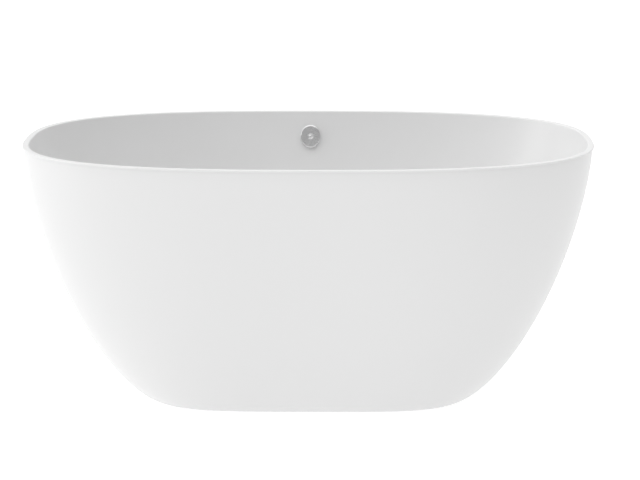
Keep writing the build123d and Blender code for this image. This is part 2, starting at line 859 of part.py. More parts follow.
floor_plane = Plane.XY
throat_radius = drain_throat_diameter / 2
throat_bore_radius = throat_radius - drain_throat_wall
flange_bottom = dish_seat + drain_flange_seal_thickness
flange_top = flange_bottom + drain_flange_thickness
throat_bottom = flange_bottom - drain_throat_length
spider_top = throat_bottom + drain_spider_thickness
guide_screw_radius = guide_thread_diameter / 2

keep(
    tube_at(
        floor_plane,
        drain_flange_diameter / 2 - drain_flange_seal_inset,
        drain_hole_diameter / 2,
        dish_seat,
        flange_bottom,
    ),
    "drain_flange_seal",
)

with BuildPart() as drain_flange:
    add(tube_at(floor_plane, drain_flange_diameter / 2, 0, flange_bottom, flange_top))
    fillet(drain_flange.edges().group_by(Axis.Z)[-1], drain_flange_edge_radius)
    add(tube_at(floor_plane, throat_radius, 0, throat_bottom, flange_bottom))
    add(
        tube_at(floor_plane, throat_bore_radius, 0, throat_bottom, flange_top),
        mode=Mode.SUBTRACT,
    )
    with BuildSketch(Plane.XY.offset(throat_bottom)):
        with PolarLocations(0, drain_spider_arms):
            Rectangle(
                throat_radius - drain_throat_wall / 2,
                drain_spider_arm_width,
                align=(Align.MIN, Align.CENTER),
            )
        Circle(drain_spider_boss_diameter / 2)
        Circle(guide_screw_radius + drain_thread_clearance, mode=Mode.SUBTRACT)
    extrude(amount=drain_spider_thickness)
keep(drain_flange.part, "drain_flange")

body_seal_bottom = dish_underside - drain_seal_thickness
drain_bore_radius = throat_radius + drain_thread_clearance
keep(
    tube_at(
        floor_plane,
        drain_body_flange_diameter / 2,
        drain_hole_diameter / 2,
        body_seal_bottom,
        dish_underside,
    ),
    "drain_body_seal",
)

drain_body_bottom = body_seal_bottom - drain_body_height
drain_flange_underside = body_seal_bottom - drain_body_flange_thickness
outlet_end = drain_body_bottom - outlet_length
with BuildPart() as drain_body:
    add(
        tube_at(
            floor_plane,
            drain_body_flange_diameter / 2,
            0,
            drain_flange_underside,
            body_seal_bottom,
        )
    )
    add(tube_at(floor_plane, drain_body_diameter / 2, 0, drain_body_bottom, drain_flange_underside))
    add(tube_at(floor_plane, outlet_diameter / 2, 0, outlet_end, drain_body_bottom))
    add(tube_at(drain_side_plane, spigot_radius, 0, -drain_throat_wall, hose_spigot_length))
    add(
        tube_at(
            floor_plane,
            drain_bore_radius,
            0,
            drain_body_bottom + drain_body_floor,
            body_seal_bottom,
        ),
        mode=Mode.SUBTRACT,
    )
    add(
        tube_at(floor_plane, outlet_bore_diameter / 2, 0, outlet_end, body_seal_bottom),
        mode=Mode.SUBTRACT,
    )
    add(
        tube_at(
            drain_side_plane,
            spigot_radius - hose_spigot_wall,
            0,
            drain_bore_radius - drain_body_diameter,
            hose_spigot_length,
        ),
        mode=Mode.SUBTRACT,
    )
keep(drain_body.part, "drain_body")

# ------------------------------------------------------------- tailpiece

washer_bottom = outlet_end - washer_thickness
collar_base = washer_bottom - tailpiece_collar_height
tailpiece_end = washer_bottom - tailpiece_length
nut_bottom = collar_base - coupling_nut_lip
tail_radius = tailpiece_diameter / 2

keep(
    tube_at(
        floor_plane, outlet_diameter / 2, outlet_bore_diameter / 2, washer_bottom, outlet_end
    ),
    "tailpiece_washer",
)

with BuildPart() as tailpiece:
    add(tube_at(floor_plane, tailpiece_collar_diameter / 2, 0, collar_base, washer_bottom))
    relief_start = collar_base - tailpiece_neck_length
    add(tube_at(floor_plane, tail_radius, 0, tailpiece_end, relief_start))
    add(tube_at(floor_plane, tail_radius - tailpiece_neck_relief, 0, relief_start, collar_base))
    add(
        tube_at(floor_plane, tail_radius - tailpiece_wall, 0, tailpiece_end, washer_bottom),
        mode=Mode.SUBTRACT,
    )
keep(tailpiece.part, "tailpiece")

with BuildPart() as coupling_nut:
    add(
        tube_at(
            floor_plane, coupling_nut_diameter / 2, 0, nut_bottom, nut_bottom + coupling_nut_height
        )
    )
    with BuildSketch(Plane.XY.offset(nut_bottom)):
        with PolarLocations(coupling_nut_diameter / 2, coupling_nut_flutes):
            Circle(coupling_nut_flute_radius)
    extrude(amount=coupling_nut_height, mode=Mode.SUBTRACT)
    thread_bore = outlet_diameter / 2 + coupling_clearance
    add(
        tube_at(floor_plane, thread_bore, 0, collar_base, nut_bottom + coupling_nut_height),
        mode=Mode.SUBTRACT,
    )
    add(
        tube_at(floor_plane, tail_radius + coupling_clearance, 0, nut_bottom, collar_base),
        mode=Mode.SUBTRACT,
    )
keep(coupling_nut.part, "coupling_nut")

# ------------------------------------------------------------- click-clack plug

# The plug is drawn open, raised by its full travel.
plunger_radius = plunger_diameter / 2
guide_top = spider_top + guide_height
guide_bore_radius = guide_diameter / 2 - guide_wall
guide_bore_floor = spider_top + guide_floor
guide_lip_bottom = guide_top - guide_lip
cap_bottom = flange_top + plug_closed_gap + plug_travel
stop_collar_top = guide_lip_bottom - plug_stop_gap
stop_collar_bottom = stop_collar_top - plunger_collar_height

with BuildPart() as plug_guide:
    add(tube_at(floor_plane, guide_diameter / 2, 0, spider_top, guide_top))
    add(tube_at(floor_plane, guide_screw_radius, 0, throat_bottom, spider_top))
    add(
        tube_at(floor_plane, guide_bore_radius, 0, guide_bore_floor, guide_lip_bottom),
        mode=Mode.SUBTRACT,
    )
    add(
        tube_at(
            floor_plane,
            plunger_radius + plug_running_clearance,
            0,
            guide_lip_bottom,
            guide_top,
        ),
        mode=Mode.SUBTRACT,
    )
keep(plug_guide.part, "plug_guide")

with BuildPart() as plug_plunger:
    add(
        tube_at(
            floor_plane,
            plunger_collar_diameter / 2,
            0,
            stop_collar_bottom,
            stop_collar_top,
        )
    )
    add(tube_at(floor_plane, plunger_radius, 0, stop_collar_top, cap_bottom + plunger_entry))
keep(plug_plunger.part, "plug_plunger")

# Cap with a low crown, as a revolved half section.
plug_radius = plug_diameter / 2
with BuildPart() as plug_cap:
    with BuildSketch(Plane.XZ):
        with BuildLine():
            crown_start = (plug_radius, cap_bottom + plug_thickness)
            crown_top = (0, cap_bottom + plug_thickness + plug_crown)
            Polyline((0, crown_top[1]), (0, cap_bottom), (plug_radius, cap_bottom), crown_start)
            TangentArc(crown_top, crown_start, tangent=(1, 0), tangent_from_first=True)
        make_face()
    revolve(axis=Axis.Z)
    widest_circles = plug_cap.edges().filter_by(GeomType.CIRCLE).group_by(SortBy.LENGTH)[-1]
    fillet(widest_circles.sort_by(Axis.Z)[-1], plug_edge_radius)
    add(
        tube_at(
            floor_plane,
            plunger_radius + plug_running_clearance,
            0,
            cap_bottom,
            cap_bottom + plunger_entry + plug_running_clearance,
        ),
        mode=Mode.SUBTRACT,
    )
keep(plug_cap.part, "plug_cap")

seal_radius = throat_bore_radius - plug_seal_clearance
keep(
    tube_at(
        floor_plane,
        seal_radius,
        seal_radius - plug_seal_band,
        cap_bottom - plug_seal_thickness,
        cap_bottom,
    ),
    "plug_seal",
)

spring_bottom = guide_bore_floor + spring_wire_diameter / 2 + plug_running_clearance
spring_top = stop_collar_bottom - spring_wire_diameter / 2 - plug_running_clearance
spring_height = spring_top - spring_bottom
with BuildPart() as plug_spring:
    with BuildLine() as spring_path:
        Helix(
            spring_height / spring_turns,
            spring_height,
            spring_mean_diameter / 2,
            center=(0, 0, spring_bottom),
        )
    with BuildSketch(Plane(origin=spring_path.line @ 0, z_dir=spring_path.line % 0)):
        Circle(spring_wire_diameter / 2)
    sweep(path=spring_path.line, is_frenet=True)
keep(plug_spring.part, "plug_spring")
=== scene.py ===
from math import atan2, ceil, cos, pi, radians, sin, tan

import bmesh
import bpy
import numpy as np
from mathutils import Matrix, Vector


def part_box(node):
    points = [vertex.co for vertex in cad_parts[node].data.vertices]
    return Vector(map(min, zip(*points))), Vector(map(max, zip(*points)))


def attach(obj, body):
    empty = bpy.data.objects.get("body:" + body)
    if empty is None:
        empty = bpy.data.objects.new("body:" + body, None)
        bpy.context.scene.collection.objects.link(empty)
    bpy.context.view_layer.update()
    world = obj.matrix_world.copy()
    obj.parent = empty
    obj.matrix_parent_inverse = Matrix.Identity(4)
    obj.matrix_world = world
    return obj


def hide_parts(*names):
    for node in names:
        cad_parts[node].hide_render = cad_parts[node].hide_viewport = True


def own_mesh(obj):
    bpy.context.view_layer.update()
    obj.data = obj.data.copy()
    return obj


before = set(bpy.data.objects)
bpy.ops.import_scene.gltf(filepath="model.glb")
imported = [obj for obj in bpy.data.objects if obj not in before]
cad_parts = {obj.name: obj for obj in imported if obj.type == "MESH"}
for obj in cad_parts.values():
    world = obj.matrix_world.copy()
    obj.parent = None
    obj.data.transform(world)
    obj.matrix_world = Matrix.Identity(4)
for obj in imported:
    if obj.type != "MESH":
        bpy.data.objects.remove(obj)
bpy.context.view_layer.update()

# Freestanding bathtub: two thin acrylic shells joined under a flat rim, on a steel frame with
# levelling feet, with an overflow, its hose and a click-clack waste. Metres throughout.

MM = 0.001

# ------------------------------------------------------------------ sizes of the two shells

HALF_LENGTH, HALF_WIDTH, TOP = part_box("basin")[1]
SKIRT_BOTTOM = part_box("skirt")[0].z
SKIRT_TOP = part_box("skirt")[1].z
RIM_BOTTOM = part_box("rim_bead")[1].z
FLOOR_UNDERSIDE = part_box("base_board")[1].z

RIM_WIDTH = 15 * MM
RIM_SQUARENESS = 2.7
RIM_OUTER_RADIUS = 1.5 * MM
RIM_INNER_RADIUS = 3 * MM
RIM_LOWER_EDGE = 0.4 * MM
RIM_OVERHANG = 3 * MM
BASIN_WALL = 5 * MM
SKIRT_WALL = 4 * MM
SKIRT_RETURN = 30 * MM
BEAD_INSET = 0.4 * MM
BEAD_WIDTH = 6 * MM
BEAD_CHAMFER = 0.4 * MM
BEAD_WAVE = 0.25 * MM
FLOOR_LEVEL = FLOOR_UNDERSIDE + BASIN_WALL
DISH_RADIUS = 80 * MM
DISH_SEAT_RADIUS = 37 * MM
DISH_FALL = 4 * MM
DISH_EASE = 0.12
DRAIN_HOLE_RADIUS = 26 * MM
OVERFLOW_DROP = 66 * MM
OVERFLOW_HOLE_RADIUS = 20.5 * MM

# Half length, half width and squareness of each shell's foot, and the powers of its sweep.
SKIRT_FOOT = (388 * MM, 250 * MM, 4.2)
SKIRT_SWEEP = (1.5, 1.49)
BASIN_FOOT = (400 * MM, 175 * MM, 2.8)
BASIN_SWEEP = (1.0, 1.8)
# Rings up each surface, and the power that crowds them together near its foot.
BASIN_INNER_RINGS = 64
BASIN_OUTER_RINGS = 44
SKIRT_OUTER_RINGS = 84
SKIRT_INNER_RINGS = 50
LEVEL_CROWDING = 2.2


class Wall:
    """A shell's surface, which sweeps outwards from its foot to its top."""

    def __init__(self, foot, sweep, low, inset):
        self.foot, self.sweep, self.low = foot, sweep, low
        self.top = (HALF_LENGTH - inset, HALF_WIDTH - inset, RIM_SQUARENESS)

    def at(self, height):
        """Half length, half width and squareness at a height."""
        share = min(max((height - self.low) / (TOP - self.low), 0.0), 1.0)
        swell, turn = self.sweep
        out = (1 - (1 - share) ** swell) ** (1 / turn)
        shares = (out, out, share)
        return tuple(f + (t - f) * s for f, t, s in zip(self.foot, self.top, shares))

    def heights(self, top, count):
        """Levels from the foot to a level, closest together where the wall turns most."""
        shares = [(step / count) ** LEVEL_CROWDING for step in range(count + 1)]
        return [self.low + (top - self.low) * share for share in shares]


basin_inner = Wall(BASIN_FOOT, BASIN_SWEEP, FLOOR_LEVEL, RIM_WIDTH)
basin_outer = Wall(BASIN_FOOT, BASIN_SWEEP, FLOOR_UNDERSIDE, RIM_WIDTH - BASIN_WALL)
skirt_outer = Wall(SKIRT_FOOT, SKIRT_SWEEP, SKIRT_BOTTOM, RIM_OVERHANG)
skirt_inner = Wall(SKIRT_FOOT, SKIRT_SWEEP, SKIRT_BOTTOM + SKIRT_WALL, RIM_OVERHANG + SKIRT_WALL)

# The overflow's own frame: its origin on the rear wall, its third axis pointing into the tub.
OVERFLOW_HEIGHT = TOP - OVERFLOW_DROP
wall_above = basin_inner.at(OVERFLOW_HEIGHT + MM)[1]
wall_below = basin_inner.at(OVERFLOW_HEIGHT - MM)[1]
OVERFLOW_TILT = atan2(wall_above - wall_below, 2 * MM)
OVERFLOW_POINT = Vector((0, basin_inner.at(OVERFLOW_HEIGHT)[1], OVERFLOW_HEIGHT))
OVERFLOW_FRAME = Matrix.Translation(OVERFLOW_POINT) @ Matrix.Rotation(
    pi / 2 - OVERFLOW_TILT, 4, "X"
)

# ------------------------------------------------------------------ shader kit


class Value:
    """A socket in a material's tree, so that shader maths reads as arithmetic."""

    def __init__(self, tree, socket):
        self.tree, self.socket = tree, socket

    def maths(self, operation, *values):
        node = self.tree.nodes.new("ShaderNodeMath")
        node.operation = operation
        for socket, value in zip(node.inputs, values):
            feed(self.tree, socket, value)
        return Value(self.tree, node.outputs[0])

    def __add__(self, other):
        return self.maths("ADD", self, other)

    def __sub__(self, other):
        return self.maths("SUBTRACT", self, other)

    def __rsub__(self, other):
        return self.maths("SUBTRACT", other, self)

    def __mul__(self, other):
        return self.maths("MULTIPLY", self, other)

    def __truediv__(self, other):
        return self.maths("DIVIDE", self, other)

    __radd__ = __add__
    __rmul__ = __mul__

    def between(self, low, high):
        """0 below one value, 1 above another, and straight between them."""
        shifted = (self - low) / (high - low)
        return shifted.maths("MINIMUM", shifted.maths("MAXIMUM", shifted, 0.0), 1.0)


def feed(tree, socket, value):
    """Links a Value to a socket, or sets the socket to a plain one."""
    if isinstance(value, Value):
        tree.links.new(value.socket, socket)
    else:
        socket.default_value = value


class Tree:
    """A node tree, with one way to add any node."""

    def node(self, kind, settings=None, inputs=None, output=0):
        """Adds a node with its settings, feeds its sockets and gives one of its outputs."""
        made = self.tree.nodes.new(kind)
        for key, value in (settings or {}).items():
            setattr(made, key, value)
        for key, value in (inputs or {}).items():
            feed(self.tree, made.inputs[key], value)
        return Value(self.tree, made.outputs[output])


class Finish(Tree):
    """One material: its shader's fixed settings, and short ways to add what varies."""

    def __init__(self, name, **fixed):
        self.material = bpy.data.materials.new(name)
        self.material.use_nodes = True
        self.tree = self.material.node_tree
        self.shader = self.tree.nodes["Principled BSDF"]
        for socket, value in fixed.items():
            self.shader.inputs[socket.replace("_", " ")].default_value = value
        self.place = self.node("ShaderNodeTexCoord", output="Object")

    def stretched(self, scale):
        """The piece's coordinates, stretched by a scale for each axis."""
        return self.node("ShaderNodeMapping", None, {"Vector": self.place, "Scale": scale})

    def noise(self, scale, detail=2.0, rough=0.5, place=None):
        sockets = {"Vector": place or self.place, "Scale": scale, "Detail": detail}
        sockets["Roughness"] = rough
        return self.node("ShaderNodeTexNoise", None, sockets)

    def cells(self, scale, place=None, output="Distance"):
        sockets = {"Vector": place or self.place, "Scale": scale}
        return self.node("ShaderNodeTexVoronoi", None, sockets, output)

    def blend(self, factor, first, second):
        """Mixes two colours."""
        return self.node(
            "ShaderNodeMix", {"data_type": "RGBA"}, {0: factor, 6: first, 7: second}, output=2
        )

    def colour(self, value):
        feed(self.tree, self.shader.inputs["Base Color"], value)

    def roughness(self, value):
        feed(self.tree, self.shader.inputs["Roughness"], value)

    def relief(self, height, depth, strength):
        """Bump of a depth in metres."""
        bump = self.node(
            "ShaderNodeBump", None, {"Height": height, "Distance": depth, "Strength": strength}
        )
        feed(self.tree, self.shader.inputs["Normal"], bump)


def shade(red, green=None, blue=None):
    """A colour from one grey or from three values."""
    return (red, red if green is None else green, red if blue is None else blue, 1.0)


# ------------------------------------------------------------------ finishes


def satin_acrylic(name, base):
    """Cast acrylic with a satin gelcoat: almost even, with a faint ripple from the mould."""
    finish = Finish(name, Specular_IOR_Level=0.5, Coat_Weight=0.12, Coat_Roughness=0.22)
    drift = finish.noise(2.2, 2.0)
    haze = finish.noise(38.0, 3.0)
    finish.colour(finish.blend(drift, shade(*[c * 0.985 for c in base]), shade(*base)))
    finish.roughness(0.36 + 0.05 * haze + 0.03 * drift)
    finish.relief(finish.noise(9.0, 1.0) + 0.12 * finish.noise(260.0, 2.0), 0.00012, 0.5)
    return finish.material


def smooth_metal(name, base, rough, grain):
    """Plated metal with a fine brushed grain round its edges."""
    finish = Finish(name, Metallic=1.0)
    strokes = finish.noise(420.0, 3.0, 0.6, finish.stretched((1.0, 1.0, 14.0)))
    cloud = finish.noise(30.0, 2.0)
    finish.colour(finish.blend(cloud, shade(*[c * 0.93 for c in base]), shade(*base)))
    finish.roughness(rough + grain * strokes + 0.04 * cloud)
    finish.relief(strokes, 0.000004, 0.3)
    return finish.material


def galvanised_steel():
    """Zinc spangle: flat crystals, each a little lighter or darker than the next."""
    finish = Finish("galvanised_steel", Metallic=1.0)
    spangle = finish.cells(95.0, output="Color")
    grey = finish.node("ShaderNodeSeparateColor", None, {"Color": spangle})
    fine = finish.noise(180.0, 4.0, 0.6)
    tone = grey * 0.7 + fine * 0.3
    finish.colour(finish.blend(tone, shade(0.42, 0.44, 0.46), shade(0.66, 0.68, 0.7)))
    finish.roughness(0.34 + 0.16 * grey + 0.1 * fine)
    finish.relief(grey * 0.4 + fine * 0.6, 0.00004, 0.5)
    return finish.material


def zinc_plate():
    """Bright zinc with the faint yellow and blue tint of its passivation."""
    finish = Finish("zinc_plate", Metallic=1.0)
    tint = finish.noise(60.0, 2.0)
    fine = finish.noise(600.0, 3.0)
    finish.colour(finish.blend(tint, shade(0.62, 0.64, 0.68), shade(0.74, 0.72, 0.64)))
    finish.roughness(0.24 + 0.16 * fine + 0.06 * tint)
    finish.relief(fine, 0.00002, 0.4)
    return finish.material


def turned_brass():
    """Brass with the rings that a lathe leaves."""
    finish = Finish("turned_brass", Metallic=1.0)
    rings = finish.noise(700.0, 2.0, 0.5, finish.stretched((0.05, 0.05, 1.0)))
    dull = finish.noise(90.0, 3.0)
    finish.colour(finish.blend(dull, shade(0.63, 0.45, 0.19), shade(0.78, 0.6, 0.3)))
    finish.roughness(0.2 + 0.15 * dull + 0.08 * rings)
    finish.relief(rings, 0.00003, 0.5)
    return finish.material


def moulded_plastic(name, base, rough):
    """Injection-moulded plastic with a fine spark texture."""
    finish = Finish(name, Specular_IOR_Level=0.45)
    spark = finish.noise(1260.0, 3.0, 0.6)
    flow = finish.noise(14.0, 2.0)
    finish.colour(finish.blend(flow, shade(*[c * 0.92 for c in base]), shade(*base)))
    finish.roughness(rough + 0.1 * spark + 0.05 * flow)
    finish.relief(spark, 0.00005, 0.6)
    return finish.material


def soft_rubber():
    """Black rubber, dull, with a little bloom."""
    finish = Finish("soft_rubber", Specular_IOR_Level=0.3)
    bloom = finish.noise(55.0, 4.0, 0.6)
    grain = finish.noise(1500.0, 2.0)
    finish.colour(finish.blend(bloom.between(0.45, 0.8), shade(0.018), shade(0.05, 0.05, 0.052)))
    finish.roughness(0.62 + 0.2 * grain + 0.08 * bloom)
    finish.relief(grain, 0.00003, 0.6)
    return finish.material


def chipboard():
    """Pressed wood flakes of mixed tones under a thin coat of resin."""
    finish = Finish("chipboard", Coat_Weight=0.35, Coat_Roughness=0.3)
    flat = finish.stretched((1.0, 1.0, 2.6))
    warp = finish.noise(45.0, 3.0, 0.6, flat)
    coarse = finish.cells(150.0, flat, "Color")
    fine = finish.cells(420.0, flat, "Color")
    coarse_tone = finish.node("ShaderNodeSeparateColor", None, {"Color": coarse})
    fine_tone = finish.node("ShaderNodeSeparateColor", None, {"Color": fine})
    tone = coarse_tone * 0.5 + fine_tone * 0.3 + warp * 0.2
    light = finish.blend(tone, shade(0.27, 0.165, 0.085), shade(0.62, 0.45, 0.27))
    stained = finish.noise(6.0).between(0.35, 0.8)
    finish.colour(finish.blend(stained, light, shade(0.44, 0.29, 0.16)))
    finish.roughness(0.5 + 0.2 * fine_tone)
    finish.relief(tone, 0.00025, 0.7)
    return finish.material


def cut_foam():
    """Rigid foam with open cells on its cut faces."""
    finish = Finish("cut_foam", Specular_IOR_Level=0.25)
    cells = finish.cells(330.0)
    age = finish.noise(12.0, 3.0)
    finish.colour(finish.blend(age, shade(0.78, 0.66, 0.38), shade(0.86, 0.78, 0.55)))
    finish.roughness(0.8 + 0.15 * cells)
    finish.relief(cells + 0.3 * finish.noise(900.0), 0.0012, 0.9)
    return finish.material


def adhesive_bead():
    """White adhesive, matt, smoothed by a finger."""
    finish = Finish("adhesive_bead", Specular_IOR_Level=0.35)
    smear = finish.noise(34.0, 3.0)
    finish.colour(finish.blend(smear, shade(0.5, 0.5, 0.49), shade(0.62, 0.62, 0.6)))
    finish.roughness(0.55 + 0.15 * smear)
    finish.relief(smear, 0.0003, 0.6)
    return finish.material


FINISHES = {
    "acrylic_inner": satin_acrylic("basin_acrylic", (0.78, 0.78, 0.78)),
    "acrylic_outer": satin_acrylic("skirt_acrylic", (0.77, 0.77, 0.77)),
    "adhesive": adhesive_bead(),
    "foam": cut_foam(),
    "board": chipboard(),
    "frame_steel": galvanised_steel(),
    "cap_plastic": moulded_plastic("cap_plastic", (0.03, 0.03, 0.032), 0.42),
    "zinc_steel": zinc_plate(),
    "pad_plastic": moulded_plastic("pad_nylon", (0.028, 0.028, 0.03), 0.5),
    "satin_chrome": smooth_metal("satin_chrome", (0.86, 0.86, 0.865), 0.22, 0.05),
    "brass": turned_brass(),
    "spring_steel": smooth_metal("spring_wire", (0.55, 0.55, 0.55), 0.2, 0.1),
    "waste_plastic": moulded_plastic("waste_plastic", (0.8, 0.8, 0.78), 0.35),
    "hose_plastic": moulded_plastic("hose_plastic", (0.62, 0.64, 0.66), 0.38),
    "clip_steel": smooth_metal("clip_band", (0.6, 0.6, 0.6), 0.22, 0.12),
    "seal_rubber": soft_rubber(),
}

# ------------------------------------------------------------------ mesh kit

RING_POINTS = 320
MERGE_DISTANCE = 0.002 * MM
FLAT_ANGLE = 0.4
SHARP_ANGLE = 32.0


def link(name, mesh):
    """A new object at the origin for a mesh."""
    piece = bpy.data.objects.new(name, mesh)
    bpy.context.scene.collection.objects.link(piece)
    return piece


def oval(half_length, half_width, squareness, height, count=RING_POINTS):
    """Ring of points on a squared-off ellipse, evenly turned about its middle."""
    turn = np.arange(count) * 2 * pi / count
    across, along = np.cos(turn), np.sin(turn)
    reach = (np.abs(across) ** squareness + np.abs(along) ** squareness) ** (-1 / squareness)
    return np.stack(
        [half_length * reach * across, half_width * reach * along, np.full(count, height)], 1
    )


def loop_mesh(name, rings, closed=True, wrapped=True):
    """Solid from rings of points, each joined to the next and, if closed, the last to the first."""
    count = len(rings[0])
    faces = []
    for row in range(len(rings) if closed else len(rings) - 1):
        after = (row + 1) % len(rings)
        for step in range(count if wrapped else count - 1):
            beside = (step + 1) % count
            faces.append(
                (row * count + step, row * count + beside, after * count + beside, after * count + step)
            )
    mesh = bpy.data.meshes.new(name)
    mesh.from_pydata(np.concatenate(rings).tolist(), [], faces)
    return mesh


def tidy(mesh, angle=SHARP_ANGLE, flat=False):
    """Merges doubles, turns faces outwards and shades smooth except over sharp edges."""
    work = bmesh.new()
    work.from_mesh(mesh)
    bmesh.ops.remove_doubles(work, verts=work.verts, dist=MERGE_DISTANCE)
    if flat:
        bmesh.ops.dissolve_limit(
            work, angle_limit=radians(FLAT_ANGLE), verts=work.verts, edges=work.edges
        )
    bmesh.ops.recalc_face_normals(work, faces=work.faces)
    for face in work.faces:
        face.smooth = True
    for edge in work.edges:
        edge.smooth = len(edge.link_faces) == 2 and edge.calc_face_angle(0.0) < radians(angle)
    work.to_mesh(mesh)
    work.free()
    return mesh


def baked(piece):
    """The piece with its modifiers made part of its mesh."""
    graph = bpy.context.evaluated_depsgraph_get()
    mesh = bpy.data.meshes.new_from_object(piece.evaluated_get(graph), depsgraph=graph)
    piece.modifiers.clear()
    piece.data = mesh
    return piece


def softened(piece, edge, segments=2, angle=30.0):
    """The piece with its sharp edges rounded by a number of millimetres."""
    bevel = piece.modifiers.new("edges", "BEVEL")
    bevel.width, bevel.segments = edge * MM, segments
    bevel.limit_method, bevel.angle_limit = "ANGLE", radians(angle)
    bevel.harden_normals = True
    return baked(piece)


def combined(piece, tool, operation):
    """Joins a closed mesh to a piece or cuts it out, and removes it."""
    modifier = piece.modifiers.new("combine", "BOOLEAN")
    modifier.operation, modifier.solver, modifier.object = operation, "EXACT", tool
    baked(piece)
    bpy.data.objects.remove(tool)
    return piece


def joined(piece, other):
    """The piece with another's faces added to its own."""
    work = bmesh.new()
    work.from_mesh(piece.data)
    work.from_mesh(other.data)
    work.to_mesh(piece.data)
    work.free()
    bpy.data.objects.remove(other)
    return piece


def finished(piece, slot, body, *nodes):
    """Gives a piece its finish, its body and the nodes that it stands for."""
    piece.data.materials.clear()
    piece.data.materials.append(FINISHES[slot])
    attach(piece, body)
    if nodes:
        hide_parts(*nodes)
    return piece


def refined(node, name, slot, edge):
    """A piece with a CAD node's shape, smooth where it is round, with softened edges."""
    piece = link(name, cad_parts[node].data.copy())
    tidy(piece.data, flat=edge > 0)
    if edge:
        softened(piece, edge, angle=SHARP_ANGLE)
    return finished(piece, slot, "tub", node)


# ------------------------------------------------------------------ geometry trees

SOCKET_KINDS = {
    int: "NodeSocketInt",
    float: "NodeSocketFloat",
    bpy.types.Material: "NodeSocketMaterial",
}


class Growth(Tree):
    """A geometry tree with named inputs, run once on a piece and baked into its mesh."""

    def __init__(self, name, **sizes):
        self.tree = bpy.data.node_groups.new(name, "GeometryNodeTree")
        self.sizes = sizes
        self.sockets = {}
        sides = self.tree.interface
        sides.new_socket("Geometry", in_out="INPUT", socket_type="NodeSocketGeometry")
        for key, value in sizes.items():
            kind = SOCKET_KINDS[type(value)]
            self.sockets[key] = sides.new_socket(key, in_out="INPUT", socket_type=kind).identifier
        sides.new_socket("Geometry", in_out="OUTPUT", socket_type="NodeSocketGeometry")
        self.entry = self.tree.nodes.new("NodeGroupInput")
        self.geometry = Value(self.tree, self.entry.outputs["Geometry"])

    def size(self, key):
        return Value(self.tree, self.entry.outputs[key])

    def grown(self, piece, shape):
        """Ends the tree with a shape, runs it on a piece and bakes the result."""
        real = self.node("GeometryNodeRealizeInstances", None, {"Geometry": shape})
        painted = self.node(
            "GeometryNodeSetMaterial", None, {"Geometry": real, "Material": self.size("Finish")}
        )
        end = self.tree.nodes.new("NodeGroupOutput")
        feed(self.tree, end.inputs["Geometry"], painted)
        modifier = piece.modifiers.new(self.tree.name, "NODES")
        modifier.node_group = self.tree
        for key, value in self.sizes.items():
            modifier[self.sockets[key]] = value
        return baked(piece)


def repeated(piece, slot, across, along, columns=2, rows=2):
    """Copies of a piece at the points of a flat grid about the origin, its sides in millimetres."""
    sizes = {"Across": across * MM, "Along": along * MM, "Columns": columns, "Rows": rows}
    growth = Growth("grid_of_copies", Finish=FINISHES[slot], **sizes)
    inputs = {"Size X": growth.size("Across"), "Size Y": growth.size("Along")}
    inputs.update({"Vertices X": growth.size("Columns"), "Vertices Y": growth.size("Rows")})
    grid = growth.node("GeometryNodeMeshGrid", None, inputs)
    copies = growth.node(
        "GeometryNodeInstanceOnPoints", None, {"Points": grid, "Instance": growth.geometry}
    )
    return growth.grown(piece, copies)


# ------------------------------------------------------------------ turned and threaded shapes

# Sections and sizes from here on are in millimetres, measured on the CAD nodes themselves.
SOFT_EDGE = 0.3
CORNER_STEPS = 3
CORNER_SHARE = 0.42
CORNER_LEAD = 1.18
HEXAGON_POINTS = 96
HEXAGON_FACE = 0.96
NUT_LEAD = 0.8
NUT_GROOVE = 0.7


def span(node, place=None):
    """Lowest and highest corners of a CAD node, in its own frame or in another."""
    turn = (place or Matrix()).inverted()
    spots = np.array([turn @ vertex.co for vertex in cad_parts[node].data.vertices]) / MM
    return Vector(spots.min(0)), Vector(spots.max(0))


def placed(mesh, place=None, angle=SHARP_ANGLE):
    """A piece from a mesh in millimetres, brought to its place."""
    mesh.transform((place or Matrix()) @ Matrix.Scale(MM, 4))
    return link(mesh.name, tidy(mesh, angle))


def ring(radius, level, count):
    """Ring of points, whose radius and level may vary round it."""
    turn = np.arange(count) * 2 * pi / count
    return np.stack([radius * np.cos(turn), radius * np.sin(turn), level + 0 * turn], 1)


def rounded(section, radius):
    """A section with softened corners; a third number on a point is its own radius.

    A corner takes up no more than a share of each side, and a point just before it and one just
    after it keep the shading of the flats even.
    """
    corners = [np.array(point[:2], float) for point in section]
    points = []
    for index, corner in enumerate(corners):
        back = corners[index - 1] - corner
        ahead = corners[(index + 1) % len(corners)] - corner
        runs = np.linalg.norm(back), np.linalg.norm(ahead)
        own = section[index][2] if len(section[index]) > 2 else radius
        reach = min(own, CORNER_SHARE * runs[0], CORNER_SHARE * runs[1])
        if corner[0] <= 0 or reach <= 0:
            points.append(corner)
            continue
        back, ahead = back / runs[0] * reach, ahead / runs[1] * reach
        points.append(corner + CORNER_LEAD * back)
        for share in np.linspace(0, 1, CORNER_STEPS + 1):
            points.append(corner + back * (1 - share) ** 2 + ahead * share ** 2)
        points.append(corner + CORNER_LEAD * ahead)
    return points


def turned(name, section, edge=SOFT_EDGE, count=96, place=None, bend=None):
    """Solid turned from a section of radii and levels, closed on its axis or round a bore."""
    rings = [ring(radius, level, count) for radius, level in rounded(section, edge)]
    for points in rings if bend else ():
        bend(points)
    return placed(loop_mesh(name, rings, closed=section[0][0] > 0), place)


